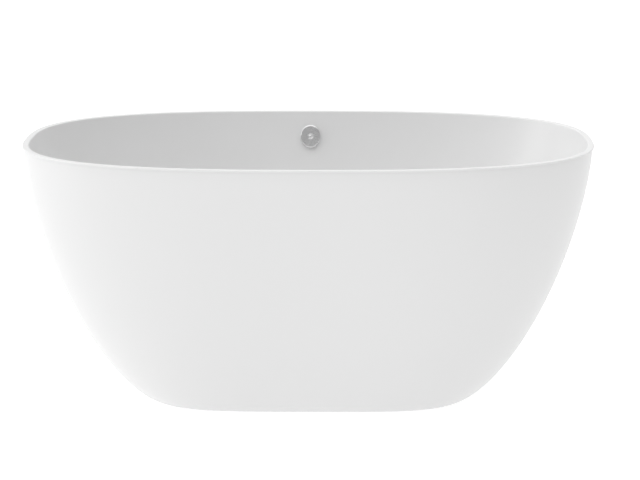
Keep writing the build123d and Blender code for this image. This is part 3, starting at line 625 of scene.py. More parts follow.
def threaded(name, low, high, crest, pitch, depth, chamfer, count=32, place=None, rest=None):
    """Thread whose rows climb along its helix: a rod, or with the rest of its section a sleeve."""
    profile = (0.0, 0.5 * depth, depth, 0.5 * depth)
    share = np.arange(count + 1) / count
    across, along = np.cos(2 * pi * share), np.sin(2 * pi * share)
    rows = []
    for row in range(-len(profile), len(profile) * (ceil((high - low) / pitch) + 1)):
        level = np.clip(low + (row / len(profile) + share) * pitch, low, high)
        end = np.minimum(level - low, high - level)
        radius = np.minimum(crest - profile[row % len(profile)], crest - chamfer + end)
        rows.append((radius, level))
    if rest:
        rows += rounded([(crest - chamfer, high, 0), *rest, (crest - chamfer, low, 0)], SOFT_EDGE)
    else:
        rows = [(0, low), *rows, (0, high)]
    rings = []
    for radius, level in rows:
        rings.append(np.stack([radius * across, radius * along, level + 0 * share], 1))
    return placed(loop_mesh(name, rings, closed=bool(rest), wrapped=False), place, 50.0)


def bored(piece, radius, low, high, count=96, place=None, corner=0):
    """Cuts a round hole between two levels, which may have a rounded corner at its floor."""
    hole = [(0, low), (radius, low, corner), (radius, high, 0), (0, high)]
    return combined(piece, turned("bore", hole, 0, count, place), "DIFFERENCE")


def prism(name, across, low, high, place):
    """Sharp hexagon bar."""
    reach = across / 2 / cos(pi / 6)
    levels = ((0, low), (reach, low), (reach, high), (0, high))
    rings = [ring(radius, level, 6) for radius, level in levels]
    return placed(loop_mesh(name, rings, closed=False), place)


def block(name, low, high, place=None):
    """Rectangular block between two corners."""
    work = bmesh.new()
    bmesh.ops.create_cube(work, size=1.0)
    mesh = bpy.data.meshes.new(name)
    work.to_mesh(mesh)
    work.free()
    size = [b - a for a, b in zip(low, high)]
    middle = [(a + b) / 2 for a, b in zip(low, high)]
    mesh.transform(Matrix.Translation(middle) @ Matrix.Diagonal((*size, 1)))
    return placed(mesh, place)


def hexagon_reach(across, count):
    """How far a hexagon's outline lies from its axis, at points evenly turned about it."""
    turn = np.arange(count) * 2 * pi / count
    return across / 2 / np.cos(turn % (pi / 3) - pi / 6)


def hexagon_side(low, high, across):
    """Rings up the outside of a hexagon whose corners are chamfered at both ends."""
    outline = hexagon_reach(across, HEXAGON_POINTS)
    face = HEXAGON_FACE * across / 2
    slope = (outline - face) * tan(pi / 6)
    section = ((face, low), (outline, low + slope), (outline, high - slope), (face, high))
    return [ring(radius, level, HEXAGON_POINTS) for radius, level in section]


def hexagon_nut(name, low, high, across, bore, pitch):
    """Hexagon nut with grooves in its bore, which opens out at both ends."""
    below = [(bore, low + NUT_LEAD), (bore + NUT_LEAD, low)]
    above = [(bore + NUT_LEAD, high), (bore, high - NUT_LEAD)]
    for groove in range(int((high - low - 2 * NUT_LEAD) / pitch)):
        level = high - NUT_LEAD - pitch * (groove + 0.5)
        above += [(bore, level + 0.3 * pitch), (bore + NUT_GROOVE, level)]
        above.append((bore, level - 0.3 * pitch))
    rings = [ring(radius, level, HEXAGON_POINTS) for radius, level in below]
    rings += hexagon_side(low, high, across)
    rings += [ring(radius, level, HEXAGON_POINTS) for radius, level in above]
    return placed(loop_mesh(name, rings), angle=25.0)


def hexagon_bar(name, low, high, across, place):
    """Short hexagon bar with chamfered corners."""
    ends = [ring(0, level, HEXAGON_POINTS) for level in (low, high)]
    rings = [ends[0], *hexagon_side(low, high, across), ends[1]]
    return placed(loop_mesh(name, rings, closed=False), place, 25.0)


def plate(name, outline, thickness, turn):
    """Flat plate from an outline of radii and levels, standing out from the axis."""
    half = thickness / 2
    count = len(outline)
    points = [(radius, side, level) for side in (-half, half) for radius, level in outline]
    faces = [tuple(range(count)), tuple(reversed(range(count, 2 * count)))]
    faces += [(i, (i + 1) % count, (i + 1) % count + count, i + count) for i in range(count)]
    mesh = bpy.data.meshes.new(name)
    mesh.from_pydata(points, [], faces)
    return placed(mesh, turn)


def hose_route():
    """The hose's corners across the tub: out of the neck, down beside the wall and in."""
    start = OVERFLOW_FRAME @ (Vector((0, NECK_END, HOSE_LEVEL)) * MM) / MM
    down = OVERFLOW_FRAME.to_3x3() @ Vector((0, -1, 0))
    lead = start + down * HOSE_LEAD
    side = span("rail_rear")[0].z - HOSE_RAIL_CLEARANCE - HOSE_RADIUS
    corner = lead.y - (lead.z - side) * down.y / down.z
    middle = ((lead.y + corner) / 2 + HOSE_BOW, (lead.z + side) / 2)
    return [(start.y, start.z), (lead.y, lead.z), middle, (corner, side), (DRAIN_SIDE + 1, side)]


# ------------------------------------------------------------------ shells


def circle(radius, height):
    return oval(radius, radius, 2, height)


def rim_ring(inset, height):
    """Ring set in from the rim's outline."""
    return oval(HALF_LENGTH - inset, HALF_WIDTH - inset, RIM_SQUARENESS, height)


def rim_corner(wall, level, radius, steps):
    """Rings of a rounded corner where a wall meets the rim's flat top."""
    rings = []
    for step in range(steps + 1):
        share = step / steps
        height = level - radius * (1 - share) ** 2
        half_length, half_width, squareness = wall.at(height)
        out = radius * share ** 2
        rings.append(oval(half_length + out, half_width + out, squareness, height))
    return rings


def floor_rings(start, level, shares):
    """Rings over a floor, from a circle at its middle towards the oval foot of the basin."""
    rings = []
    for share in shares:
        between = [a + (b - a) * share for a, b in zip((start, start, 2), BASIN_FOOT)]
        rings.append(oval(*between, level))
    return rings


def basin_rings():
    """Round the basin's section: up the inside from the drain, over the rim, down the outside."""
    seat = FLOOR_LEVEL - DISH_FALL
    rings = []
    for radius in np.linspace(DRAIN_HOLE_RADIUS, DISH_SEAT_RADIUS, 4):
        rings.append(circle(radius, seat))
    for share in np.linspace(0, 1, 14)[1:]:
        radius = DISH_SEAT_RADIUS + (DISH_RADIUS - DISH_SEAT_RADIUS) * share
        eased = share - DISH_EASE * sin(2 * pi * share)
        rings.append(circle(radius, seat + DISH_FALL * eased))
    rings += floor_rings(DISH_RADIUS, FLOOR_LEVEL, np.linspace(0, 1, 12)[1:-1])
    just_below_corner = TOP - 1.05 * RIM_INNER_RADIUS
    for height in basin_inner.heights(just_below_corner, BASIN_INNER_RINGS):
        rings.append(oval(*basin_inner.at(height), height))
    rings += rim_corner(basin_inner, TOP, RIM_INNER_RADIUS, 7)
    for inset in np.linspace(RIM_WIDTH - RIM_INNER_RADIUS, RIM_OUTER_RADIUS, 6)[1:]:
        rings.append(rim_ring(inset, TOP))
    for turn in np.linspace(0, pi / 2, 7)[1:]:
        inset = RIM_OUTER_RADIUS * (1 - sin(turn))
        rings.append(rim_ring(inset, TOP - RIM_OUTER_RADIUS * (1 - cos(turn))))
    rings.append(rim_ring(0, RIM_BOTTOM + RIM_LOWER_EDGE))
    rings.append(rim_ring(RIM_LOWER_EDGE, RIM_BOTTOM))
    for height in reversed(basin_outer.heights(RIM_BOTTOM, BASIN_OUTER_RINGS)):
        rings.append(oval(*basin_outer.at(height), height))
    rings += floor_rings(DISH_RADIUS + BASIN_WALL, FLOOR_UNDERSIDE, np.linspace(1, 0, 8)[1:])
    for radius in (DISH_SEAT_RADIUS + BASIN_WALL, DRAIN_HOLE_RADIUS):
        rings.append(circle(radius, FLOOR_UNDERSIDE - DISH_FALL))
    return rings


def skirt_rings():
    """Round the skirt's section: up the outside, over its top edge and down the inside."""
    rings = []
    for height in skirt_outer.heights(SKIRT_TOP, SKIRT_OUTER_RINGS):
        rings.append(oval(*skirt_outer.at(height), height))
    for height in reversed(skirt_inner.heights(SKIRT_TOP, SKIRT_INNER_RINGS)):
        rings.append(oval(*skirt_inner.at(height), height))
    foot_length, foot_width, squareness = SKIRT_FOOT
    inner = (foot_length - SKIRT_RETURN, foot_width - SKIRT_RETURN, squareness)
    rings.append(oval(*inner, SKIRT_BOTTOM + SKIRT_WALL))
    rings.append(oval(*inner, SKIRT_BOTTOM))
    return rings


def overflow_cutter():
    """Round bar through the basin's rear wall."""
    work = bmesh.new()
    bmesh.ops.create_cone(
        work,
        cap_ends=True,
        segments=96,
        radius1=OVERFLOW_HOLE_RADIUS,
        radius2=OVERFLOW_HOLE_RADIUS,
        depth=6 * BASIN_WALL,
    )
    mesh = bpy.data.meshes.new("overflow_cutter")
    work.to_mesh(mesh)
    work.free()
    mesh.transform(OVERFLOW_FRAME)
    return link("overflow_cutter", mesh)


def make_basin():
    piece = link("bathing_shell", tidy(loop_mesh("bathing_shell", basin_rings())))
    combined(piece, overflow_cutter(), "DIFFERENCE")
    tidy(piece.data)
    finished(piece, "acrylic_inner", "tub", "basin")


def make_skirt():
    piece = link("outer_shell", tidy(loop_mesh("outer_shell", skirt_rings())))
    finished(piece, "acrylic_outer", "tub", "skirt")


def make_bead():
    """Bead of adhesive between the rim and the skirt, with an uneven front edge."""
    half_length, half_width, squareness = skirt_outer.at(SKIRT_TOP)
    turn = np.arange(RING_POINTS) * 2 * pi / RING_POINTS
    # Two waves that never fall in step, so that the edge looks smoothed by hand.
    wave = BEAD_WAVE * (np.sin(23 * turn) + 0.6 * np.sin(41 * turn + 1.0))
    shrink = 1 - np.maximum(wave, 0) / half_width
    front, back = BEAD_INSET + BEAD_CHAMFER, BEAD_INSET + BEAD_WIDTH
    rings = []
    for inset, share in ((BEAD_INSET, 0.5), (front, 0.0), (back, 0.0), (back, 1.0), (front, 1.0)):
        level = SKIRT_TOP + (RIM_BOTTOM - SKIRT_TOP) * share
        points = oval(half_length - inset, half_width - inset, squareness, level)
        points[:, :2] *= shrink[:, None]
        rings.append(points)
    piece = link("rim_sealing_bead", tidy(loop_mesh("rim_sealing_bead", rings)))
    finished(piece, "adhesive", "tub", "rim_bead")


make_basin()
make_skirt()
make_bead()

# ------------------------------------------------------------------ sizes of the fittings

OVERFLOW_WALL = basin_outer.at(OVERFLOW_HEIGHT)[1] - basin_inner.at(OVERFLOW_HEIGHT)[1]
OVERFLOW_WALL *= cos(OVERFLOW_TILT) / MM
# Clearance where one piece turns or slides in another, and how far a cutter reaches past a face.
FIT = 0.05
PAST = 1.0

OVERFLOW_TUBE_RADIUS = 19.0
ELBOW_BACK = -OVERFLOW_WALL - 10.5
ELBOW_FLANGE = 2.5
ELBOW_WALL = 3.0
ELBOW_FLOOR = 2.0
NECK_TOP = -16.5
NECK_END = -54.5
NECK_HALF_WIDTH = 15.0
NECK_SQUARENESS = 3.2
NECK_WALL = 1.5
NECK_POINTS = 64
SPIGOT_RADIUS = 7.95
SPIGOT_LENGTH = 18.0
SPIGOT_BARB = 0.5
SPIGOT_BARBS = 4

PLATE_WALL = 2.0
PLATE_EDGE = 2.8
PLATE_CROWN = 0.5
PLATE_SLOT_SPACING = 13.0
PLATE_SLOT_WIDTH = 9.0
PLATE_SLOT_HEIGHT = 3.5
PLATE_SLOT_REACH = 20.5
SCREW_DISH_RADIUS = 7.4
SCREW_HEAD_HEIGHT = 2.0
SCREW_HEAD_SIDE = 0.9
SCREW_SOCKET_DEPTH = 1.4
SCREW_SOCKET_ACROSS = 3.0
SCREW_BOSS_RADIUS = 5.5
SCREW_RADIUS = 2.5
SCREW_BORE = SCREW_RADIUS + FIT

HOSE_RADIUS = 10.0
HOSE_WALL = 1.9
HOSE_WALL_CLEARANCE = 2.5
HOSE_LEVEL = -OVERFLOW_WALL - HOSE_WALL_CLEARANCE - HOSE_RADIUS
HOSE_LEAD = 55.0
HOSE_BOW = 8.0
HOSE_BENDS = (300.0, 600.0, 100.0)
HOSE_RAIL_CLEARANCE = 4.0
HOSE_RIB_PITCH = 5.0
HOSE_RIB_DEPTH = 1.2
HOSE_CUFF = 19.0
CLIP_WIDTH = 9.0
CLIP_BAND = 0.8
CLIP_NOTCHES = 9
CLIP_NOTCH_TURN = 0.16
CLIP_NOTCH_FLOOR = 0.45
CLIP_NOTCH_TOP = 1.2
CLIP_NOTCH_MARGIN = 1.6
CLIP_HOUSING_HEIGHT = 4.8
CLIP_HOUSING_MARGIN = 0.6
CLIP_WORM_LEVEL = 2.8
CLIP_WORM_ACROSS = 4.4

THROAT_RADIUS = 24.5
OUTLET_RADIUS = 22.0
OUTLET_BORE = 17.0
DRAIN_SIDE = THROAT_RADIUS + 5.5
GUIDE_THREAD_RADIUS = 5.0
STEM_RADIUS = 4.0
PIPE_RADIUS = 20.0
PIPE_BORE = 18.0
SPRING_WIRE = 0.9
SPRING_TURNS = 5
FLUTES = 12
FLUTED_POINTS = 192

STUD_RADIUS = 6.0
STUD_PITCH = 1.75
NUT_ACROSS = 19.0
PAD_RADIUS = 25.0
PAD_HUB_RADIUS = 13.0
PAD_GROOVES = (6.0, 11.0, 16.0, 21.0)
SEAL_BORES = {
    "overflow_gasket": 20.5,
    "overflow_seal": 20.5,
    "drain_flange_seal": 26.0,
    "drain_body_seal": 26.0,
    "tailpiece_washer": 17.0,
}

# ------------------------------------------------------------------ overflow


def make_overflow_plate():
    """Oval plate with a broad soft edge, a sunk screw seat and three slots along its foot."""
    low, high = span("overflow_cover", OVERFLOW_FRAME)
    head = span("cover_screw", OVERFLOW_FRAME)[1]
    seat = head.z - SCREW_HEAD_HEIGHT
    dish_floor = seat - 0.25
    boss_end = span("overflow_insert", OVERFLOW_FRAME)[1].z + 0.2
    wall, inside = high.x - PLATE_WALL, high.z - PLATE_WALL
    section = [
        (high.x, low.z, 0.3),
        (high.x, high.z - PLATE_CROWN, PLATE_EDGE),
        (SCREW_DISH_RADIUS + 2, high.z, 1.0),
        (SCREW_DISH_RADIUS, high.z, 0.3),
        (head.x + 1.0, dish_floor, 0.3),
        (head.x + 0.1, dish_floor, 0.1),
        (head.x - 0.3, seat, 0.1),
        (SCREW_BORE, seat, 0.0),
        (SCREW_BORE, boss_end, 0.2),
        (SCREW_BOSS_RADIUS, boss_end, 0.3),
        (SCREW_BOSS_RADIUS, inside, 0.8),
        (wall, inside, 1.0),
        (wall, low.z, 0.3),
    ]
    extra = high.y / high.x - 1

    def stretch(points):
        reach = np.hypot(points[:, 0], points[:, 1])
        share = np.clip((reach - SCREW_DISH_RADIUS) / (wall - SCREW_DISH_RADIUS), 0, 1)
        points[:, 1] *= 1 + extra * share

    piece = turned("overflow_plate", section, count=144, place=OVERFLOW_FRAME, bend=stretch)
    for step in (-1, 0, 1):
        middle = step * PLATE_SLOT_SPACING
        low_corner = (middle - PLATE_SLOT_WIDTH / 2, -high.y - PAST, low.z - PAST)
        high_corner = (middle + PLATE_SLOT_WIDTH / 2, -PLATE_SLOT_REACH, low.z + PLATE_SLOT_HEIGHT)
        combined(piece, block("slot", low_corner, high_corner, OVERFLOW_FRAME), "DIFFERENCE")
    tidy(piece.data)
    finished(piece, "satin_chrome", "tub", "overflow_cover")


def make_plate_screw():
    """Domed screw with a hexagon socket and a threaded shank."""
    low, high = span("cover_screw", OVERFLOW_FRAME)
    seat = high.z - SCREW_HEAD_HEIGHT
    head = [
        (0, seat),
        (high.x, seat, 0.2),
        (high.x, seat + SCREW_HEAD_SIDE, 0.8),
        (2.4, high.z, 0.9),
        (0, high.z),
    ]
    piece = turned("overflow_plate_screw", head, place=OVERFLOW_FRAME)
    floor = high.z - SCREW_SOCKET_DEPTH
    socket = prism("socket", SCREW_SOCKET_ACROSS, floor, high.z + PAST, OVERFLOW_FRAME)
    combined(piece, socket, "DIFFERENCE")
    thread = {"pitch": 0.8, "depth": 0.4, "chamfer": 0.5, "count": 24, "place": OVERFLOW_FRAME}
    shank = threaded("shank", low.z, seat + 0.4, SCREW_RADIUS, **thread)
    combined(piece, shank, "UNION")
    tidy(piece.data)
    finished(piece, "satin_chrome", "tub", "cover_screw")


def spider(boss, arms, low_corner, high_corner, edge=0):
    """Boss turned from a section, with arms evenly round it, each a block between two corners."""
    piece = turned("boss", boss, count=64)
    for arm in range(arms):
        bar = block("arm", low_corner, high_corner)
        if edge:
            softened(bar, edge)
        bar.data.transform(Matrix.Rotation(2 * pi * arm / arms, 4, "Z"))
        combined(piece, bar, "UNION")
    return piece


def make_overflow_insert():
    """Threaded ring with a three-armed boss for the plate's screw."""
    low, high = span("overflow_insert", OVERFLOW_FRAME)
    bore, flange_back = OVERFLOW_TUBE_RADIUS - 2.0, high.z - 2.0
    tube_back = span("overflow_body", OVERFLOW_FRAME)[1].z - 5.0
    piece = threaded(
        "overflow_threaded_insert",
        tube_back,
        flange_back,
        OVERFLOW_TUBE_RADIUS,
        pitch=1.5,
        depth=0.7,
        chamfer=0.8,
        count=96,
        rest=[(high.x, flange_back), (high.x, high.z, 0.8), (bore, high.z), (bore, tube_back)],
    )
    boss, half = SCREW_BOSS_RADIUS, 1.5
    boss_section = [(0, low.z), (boss, low.z, 0.4), (boss, high.z, 0.3), (0, high.z)]
    low_corner, high_corner = (3.0, -half, high.z - 3.0), (bore + 0.6, half, high.z - 0.4)
    combined(piece, spider(boss_section, 3, low_corner, high_corner), "UNION")
    bored(piece, SCREW_BORE, low.z - PAST, high.z + PAST, 48)
    piece.data.transform(OVERFLOW_FRAME)
    tidy(piece.data)
    finished(piece, "waste_plastic", "tub", "overflow_insert")


def neck_solid(name, inset, start, end):
    """Neck that narrows from a flat slot to a round spigot, down the overflow's own plane."""
    shoulder = span("overflow_body", OVERFLOW_FRAME)[1].z - ELBOW_FLANGE
    slot_level, slot_half = (shoulder + ELBOW_BACK) / 2, (shoulder - ELBOW_BACK) / 2
    rings = []
    for share in np.linspace(start, 1, 14):
        eased = min(max(share, 0.0), 1.0)
        eased = eased * eased * (3 - 2 * eased)
        half_across = NECK_HALF_WIDTH + (SPIGOT_RADIUS - NECK_HALF_WIDTH) * eased - inset
        half_deep = slot_half + (SPIGOT_RADIUS - slot_half) * eased - inset
        middle = slot_level + (HOSE_LEVEL - slot_level) * eased
        squareness = NECK_SQUARENESS + (2 - NECK_SQUARENESS) * eased
        points = oval(half_across, half_deep, squareness, 0.0, NECK_POINTS)
        level = np.full(NECK_POINTS, NECK_TOP + (NECK_END - NECK_TOP) * share)
        rings.append(np.stack([points[:, 0], level, middle + points[:, 1]], 1))
    barb = 0.0 if inset else SPIGOT_BARB
    for share in np.linspace(0, 1, 25)[1:]:
        radius = SPIGOT_RADIUS - inset - barb * (1 - (share * SPIGOT_BARBS) % 1) * (share < 1)
        points = oval(radius, radius, 2, 0.0, NECK_POINTS)
        level = np.full(NECK_POINTS, NECK_END + (end - NECK_END) * share)
        rings.append(np.stack([points[:, 0], level, HOSE_LEVEL + points[:, 1]], 1))
    caps = [np.repeat(ends.mean(0)[None], NECK_POINTS, 0) for ends in (rings[0], rings[-1])]
    return placed(loop_mesh(name, [caps[0], *rings, caps[1]], closed=False), OVERFLOW_FRAME)


def make_overflow_elbow():
    """Cup behind the wall, with a flange, a neck that turns down and a barbed spigot."""
    high = span("overflow_body", OVERFLOW_FRAME)[1]
    shoulder, cup = high.z - ELBOW_FLANGE, OVERFLOW_TUBE_RADIUS + ELBOW_WALL
    section = [
        (0, ELBOW_BACK),
        (cup, ELBOW_BACK, 1.2),
        (cup, shoulder - 1.0, 0.0),
        (cup + 1.0, shoulder, 0.5),
        (high.x, shoulder, 0.5),
        (high.x, high.z, 0.4),
        (0, high.z),
    ]
    piece = turned("overflow_elbow", section, count=128, place=OVERFLOW_FRAME)
    spigot_end = NECK_END - SPIGOT_LENGTH
    combined(piece, neck_solid("neck", 0.0, 0.0, spigot_end), "UNION")
    floor, bore = ELBOW_BACK + ELBOW_FLOOR, OVERFLOW_TUBE_RADIUS + FIT
    bored(piece, bore, floor, high.z + PAST, 96, OVERFLOW_FRAME, 1.0)
    combined(piece, neck_solid("neck_bore", NECK_WALL, -0.08, spigot_end - PAST), "DIFFERENCE")
    tidy(piece.data)
    finished(piece, "waste_plastic", "tub", "overflow_body")


def make_ribbed_ring(name, node, ridges, depth, place=None):
    """Rubber ring with shallow grooves round both of its faces."""
    low, high = span(node, place)
    bore = SEAL_BORES[node]
    step = (high.x - bore) / (2 * ridges + 1)
    spots = [bore + step * (2 * index + 1) for index in range(ridges)]
    section = [(bore, low.z, 0.3)]
    for spot in spots:
        section += [(spot, low.z, 0), (spot + step / 2, low.z + depth, 0), (spot + step, low.z, 0)]
    section += [(high.x, low.z, 0.3), (high.x, high.z, 0.3)]
    for spot in reversed(spots):
        section += [(spot + step, high.z, 0), (spot + step / 2, high.z - depth, 0)]
        section.append((spot, high.z, 0))
    section.append((bore, high.z, 0.3))
    finished(turned(name, section, count=128, place=place), "seal_rubber", "tub", node)


# ------------------------------------------------------------------ hose and clips


def make_hose():
    """Ribbed hose along straight runs and arcs, with a smooth cuff over each spigot."""
    radius = span("overflow_hose")[1].x
    route = hose_route()
    mesh = bpy.data.meshes.new("overflow_drain_hose")
    mesh.from_pydata([(0, y * MM, z * MM) for y, z in route], [(i, i + 1) for i in range(4)], [])
    bend = mesh.attributes.new("bend", "FLOAT", "POINT")
    bend.data.foreach_set("value", [value * MM for value in (0, *HOSE_BENDS, 0)])
    growth = Growth(
        "ribbed_hose",
        Radius=radius * MM,
        Pitch=HOSE_RIB_PITCH * MM,
        Depth=HOSE_RIB_DEPTH * MM,
        Cuff=HOSE_CUFF * MM,
        Sides=36,
        Finish=FINISHES["hose_plastic"],
    )
    line = growth.node("GeometryNodeMeshToCurve", None, {"Mesh": growth.geometry})
    bends = growth.node("GeometryNodeInputNamedAttribute", {"data_type": "FLOAT"}, {"Name": "bend"})
    rounding = growth.node(
        "GeometryNodeFilletCurve", {"mode": "POLY"}, {"Curve": line, "Radius": bends, "Count": 24}
    )
    pitch = growth.size("Pitch")
    path = growth.node(
        "GeometryNodeResampleCurve", {"mode": "LENGTH"}, {"Curve": rounding, "Length": pitch / 4}
    )
    along = growth.node("GeometryNodeSplineParameter", output="Length")
    whole = growth.node("GeometryNodeCurveLength", None, {"Curve": path})
    from_end = along.maths("MINIMUM", along, whole - along)
    ribbed = ((from_end - growth.size("Cuff")) / pitch).between(0.0, 1.0)
    phase = along * (2 * pi) / pitch
    wave = 0.5 - 0.5 * phase.maths("COSINE", phase)
    width = growth.size("Radius") - growth.size("Depth") * wave * ribbed
    circle = growth.node(
        "GeometryNodeCurvePrimitiveCircle", None, {"Resolution": growth.size("Sides"), "Radius": 1.0}
    )
    tube = growth.node(
        "GeometryNodeCurveToMesh", None, {"Curve": path, "Profile Curve": circle, "Scale": width}
    )
    piece = growth.grown(link(mesh.name, mesh), tube)
    wall = piece.modifiers.new("wall", "SOLIDIFY")
    wall.thickness, wall.offset = HOSE_WALL * MM, -1.0
    baked(piece)
    tidy(piece.data, 50.0)
    finished(piece, "hose_plastic", "tub", "overflow_hose")


def band_clip(name, place):
    """Steel band with a worm-screw housing on one side; its axis is the hose's."""
    inner, outer = HOSE_RADIUS + FIT, HOSE_RADIUS + FIT + CLIP_BAND
    corners = ((inner, 0), (outer, 0), (outer, CLIP_WIDTH), (inner, CLIP_WIDTH))
    piece = turned(name, corners, 0.15, 96, place)
    notch_low = (inner + CLIP_NOTCH_FLOOR, -0.35, CLIP_NOTCH_MARGIN)
    notch_high = (inner + CLIP_NOTCH_TOP, 0.35, CLIP_WIDTH - CLIP_NOTCH_MARGIN)
    for index in range(CLIP_NOTCHES):
        turn = pi / 2 + (index - CLIP_NOTCHES // 2) * CLIP_NOTCH_TURN
        notch = block("notch", notch_low, notch_high, place @ Matrix.Rotation(turn, 4, "Z"))
        combined(piece, notch, "DIFFERENCE")
    housing_low = (inner + 0.3, -3.0, CLIP_HOUSING_MARGIN)
    housing_high = (inner + CLIP_HOUSING_HEIGHT, 3.0, CLIP_WIDTH - CLIP_HOUSING_MARGIN)
    housing = softened(block("housing", housing_low, housing_high, place), 0.7, 3)
    combined(piece, housing, "UNION")
    worm = ((inner + CLIP_WORM_LEVEL) * MM, 0, CLIP_WIDTH / 2 * MM)
    worm_place = place @ Matrix.Translation(worm) @ Matrix.Rotation(pi / 2, 4, "X")
    head = prism("head", CLIP_WORM_ACROSS, 2.0, 3.5, worm_place)
    combined(head, block("slot", (-3, -0.4, 3.0), (3, 0.4, 4), worm_place), "DIFFERENCE")
    combined(piece, head, "UNION")
    tidy(piece.data)
    return piece


def make_clips():
    """One clip on each end of the hose, half way along the spigot."""
    inset = (SPIGOT_LENGTH - CLIP_WIDTH) / 2
    down = OVERFLOW_FRAME @ Matrix.Rotation(pi / 2, 4, "X")
    down = down @ Matrix.Translation(Vector((0, HOSE_LEVEL, -NECK_END + inset)) * MM)
    side = Matrix.Translation(Vector((0, DRAIN_SIDE + inset, hose_route()[-1][1])) * MM)
    side = side @ Matrix.Rotation(-pi / 2, 4, "X")
    clips = joined(band_clip("hose_band_clips", down), band_clip("lower_clip", side))
    finished(clips, "clip_steel", "tub", "hose_clips")


# ------------------------------------------------------------------ waste


def make_waste_flange():
    """Round flange with a rolled lip, a threaded throat and a four-armed spider."""
    low, high = span("drain_flange")
    bore, flange_back = THROAT_RADIUS - 2.5, high.z - 2.5
    lip = [
        (high.x, flange_back, 0.2),
        (high.x, high.z, 1.25),
        (bore + 3.0, high.z, 0.6),
        (bore, high.z - 1.2, 0.5),
        (bore, low.z),
    ]
    piece = threaded(
        "waste_flange",
        low.z,
        flange_back,
        THROAT_RADIUS,
        pitch=2.0,
        depth=0.8,
        chamfer=1.0,
        count=144,
        rest=lip,
    )
    boss, top, half = 8.0, low.z + 7.0, 1.75
    boss_section = [(0, low.z), (boss, low.z, 0.6), (boss, top, 0.6), (0, top)]
    low_corner, high_corner = (4.0, -half, low.z + 0.4), (bore + 1.2, half, top - 0.4)
    combined(piece, spider(boss_section, 4, low_corner, high_corner, 0.5), "UNION")
    bored(piece, GUIDE_THREAD_RADIUS + FIT, low.z - PAST, low.z + 8, 48)
    tidy(piece.data)
    finished(piece, "satin_chrome", "tub", "drain_flange")


def make_waste_elbow():
    """Drain body: a flanged cup on gussets, a side spigot and a threaded outlet."""
    low, high = span("drain_body")
    flange_back, cup_floor, cup = high.z - 4.0, low.z + 20.0, DRAIN_SIDE
    gussets, gusset_thickness = 8, 1.3
    section = [
        (0, cup_floor),
        (cup, cup_floor, 2.0),
        (cup, flange_back - 1.5, 0.0),
        (cup + 1.5, flange_back, 0.6),
        (high.x, flange_back, 0.6),
        (high.x, high.z, 0.6),
        (0, high.z),
    ]
    piece = turned("waste_elbow", section, count=128)
    gusset_low, gusset_high = flange_back - 12.0, flange_back + 0.5
    outline = [(cup - 1, gusset_low), (cup + 0.6, gusset_low)]
    outline += [(high.x - 2, gusset_high), (cup - 1, gusset_high)]
    for step in range(gussets):
        turn = Matrix.Rotation(2 * pi * (step + 0.5) / gussets, 4, "Z")
        combined(piece, plate("gusset", outline, gusset_thickness, turn), "UNION")
    thread = {"pitch": 3.0, "depth": 1.0, "chamfer": 1.2, "count": 64}
    outlet = threaded("outlet", low.z, cup_floor + 1, OUTLET_RADIUS, **thread)
    combined(piece, outlet, "UNION")

    side = Matrix.Translation((0, 0, hose_route()[-1][1] * MM)) @ Matrix.Rotation(-pi / 2, 4, "X")
    root, start, end = SPIGOT_RADIUS - SPIGOT_BARB, cup - 3, cup + SPIGOT_LENGTH
    spigot = [(0, start), (root, start, 0)]
    for barb in range(SPIGOT_BARBS):
        foot = cup + 2 + 4 * barb
        spigot += [(root, foot, 0), (SPIGOT_RADIUS, foot + 0.6, 0)]
    spigot += [(SPIGOT_RADIUS - 0.8, end, 0.2), (0, end)]
    combined(piece, turned("spigot", spigot, 0.1, 64, side), "UNION")
    throat_floor, inside_throat, past_spigot = cup_floor + 4, 10, 60
    bored(piece, THROAT_RADIUS + FIT, throat_floor, high.z + PAST)
    bored(piece, OUTLET_BORE, low.z - PAST, throat_floor + PAST)
    bored(piece, SPIGOT_RADIUS - NECK_WALL, inside_throat, past_spigot, 48, side)
    tidy(piece.data)
    finished(piece, "waste_plastic", "tub", "drain_body")


def make_tail_pipe():
    """Plain outlet pipe with a groove under the collar that its nut holds."""
    low, high = span("tailpiece")
    collar, groove = high.z - 3.0, PIPE_RADIUS - 0.3
    section = [
        (PIPE_BORE, low.z, 0.4),
        (PIPE_RADIUS, low.z, 1.0),
        (PIPE_RADIUS, collar - 7.0, 0.2),
        (groove, collar - 6.5, 0.2),
        (groove, collar, 0.6),
        (high.x, collar, 0.4),
        (high.x, high.z, 0.4),
        (PIPE_BORE, high.z, 0.4),
    ]
    finished(turned("tail_pipe", section, count=128), "waste_plastic", "tub", "tailpiece")


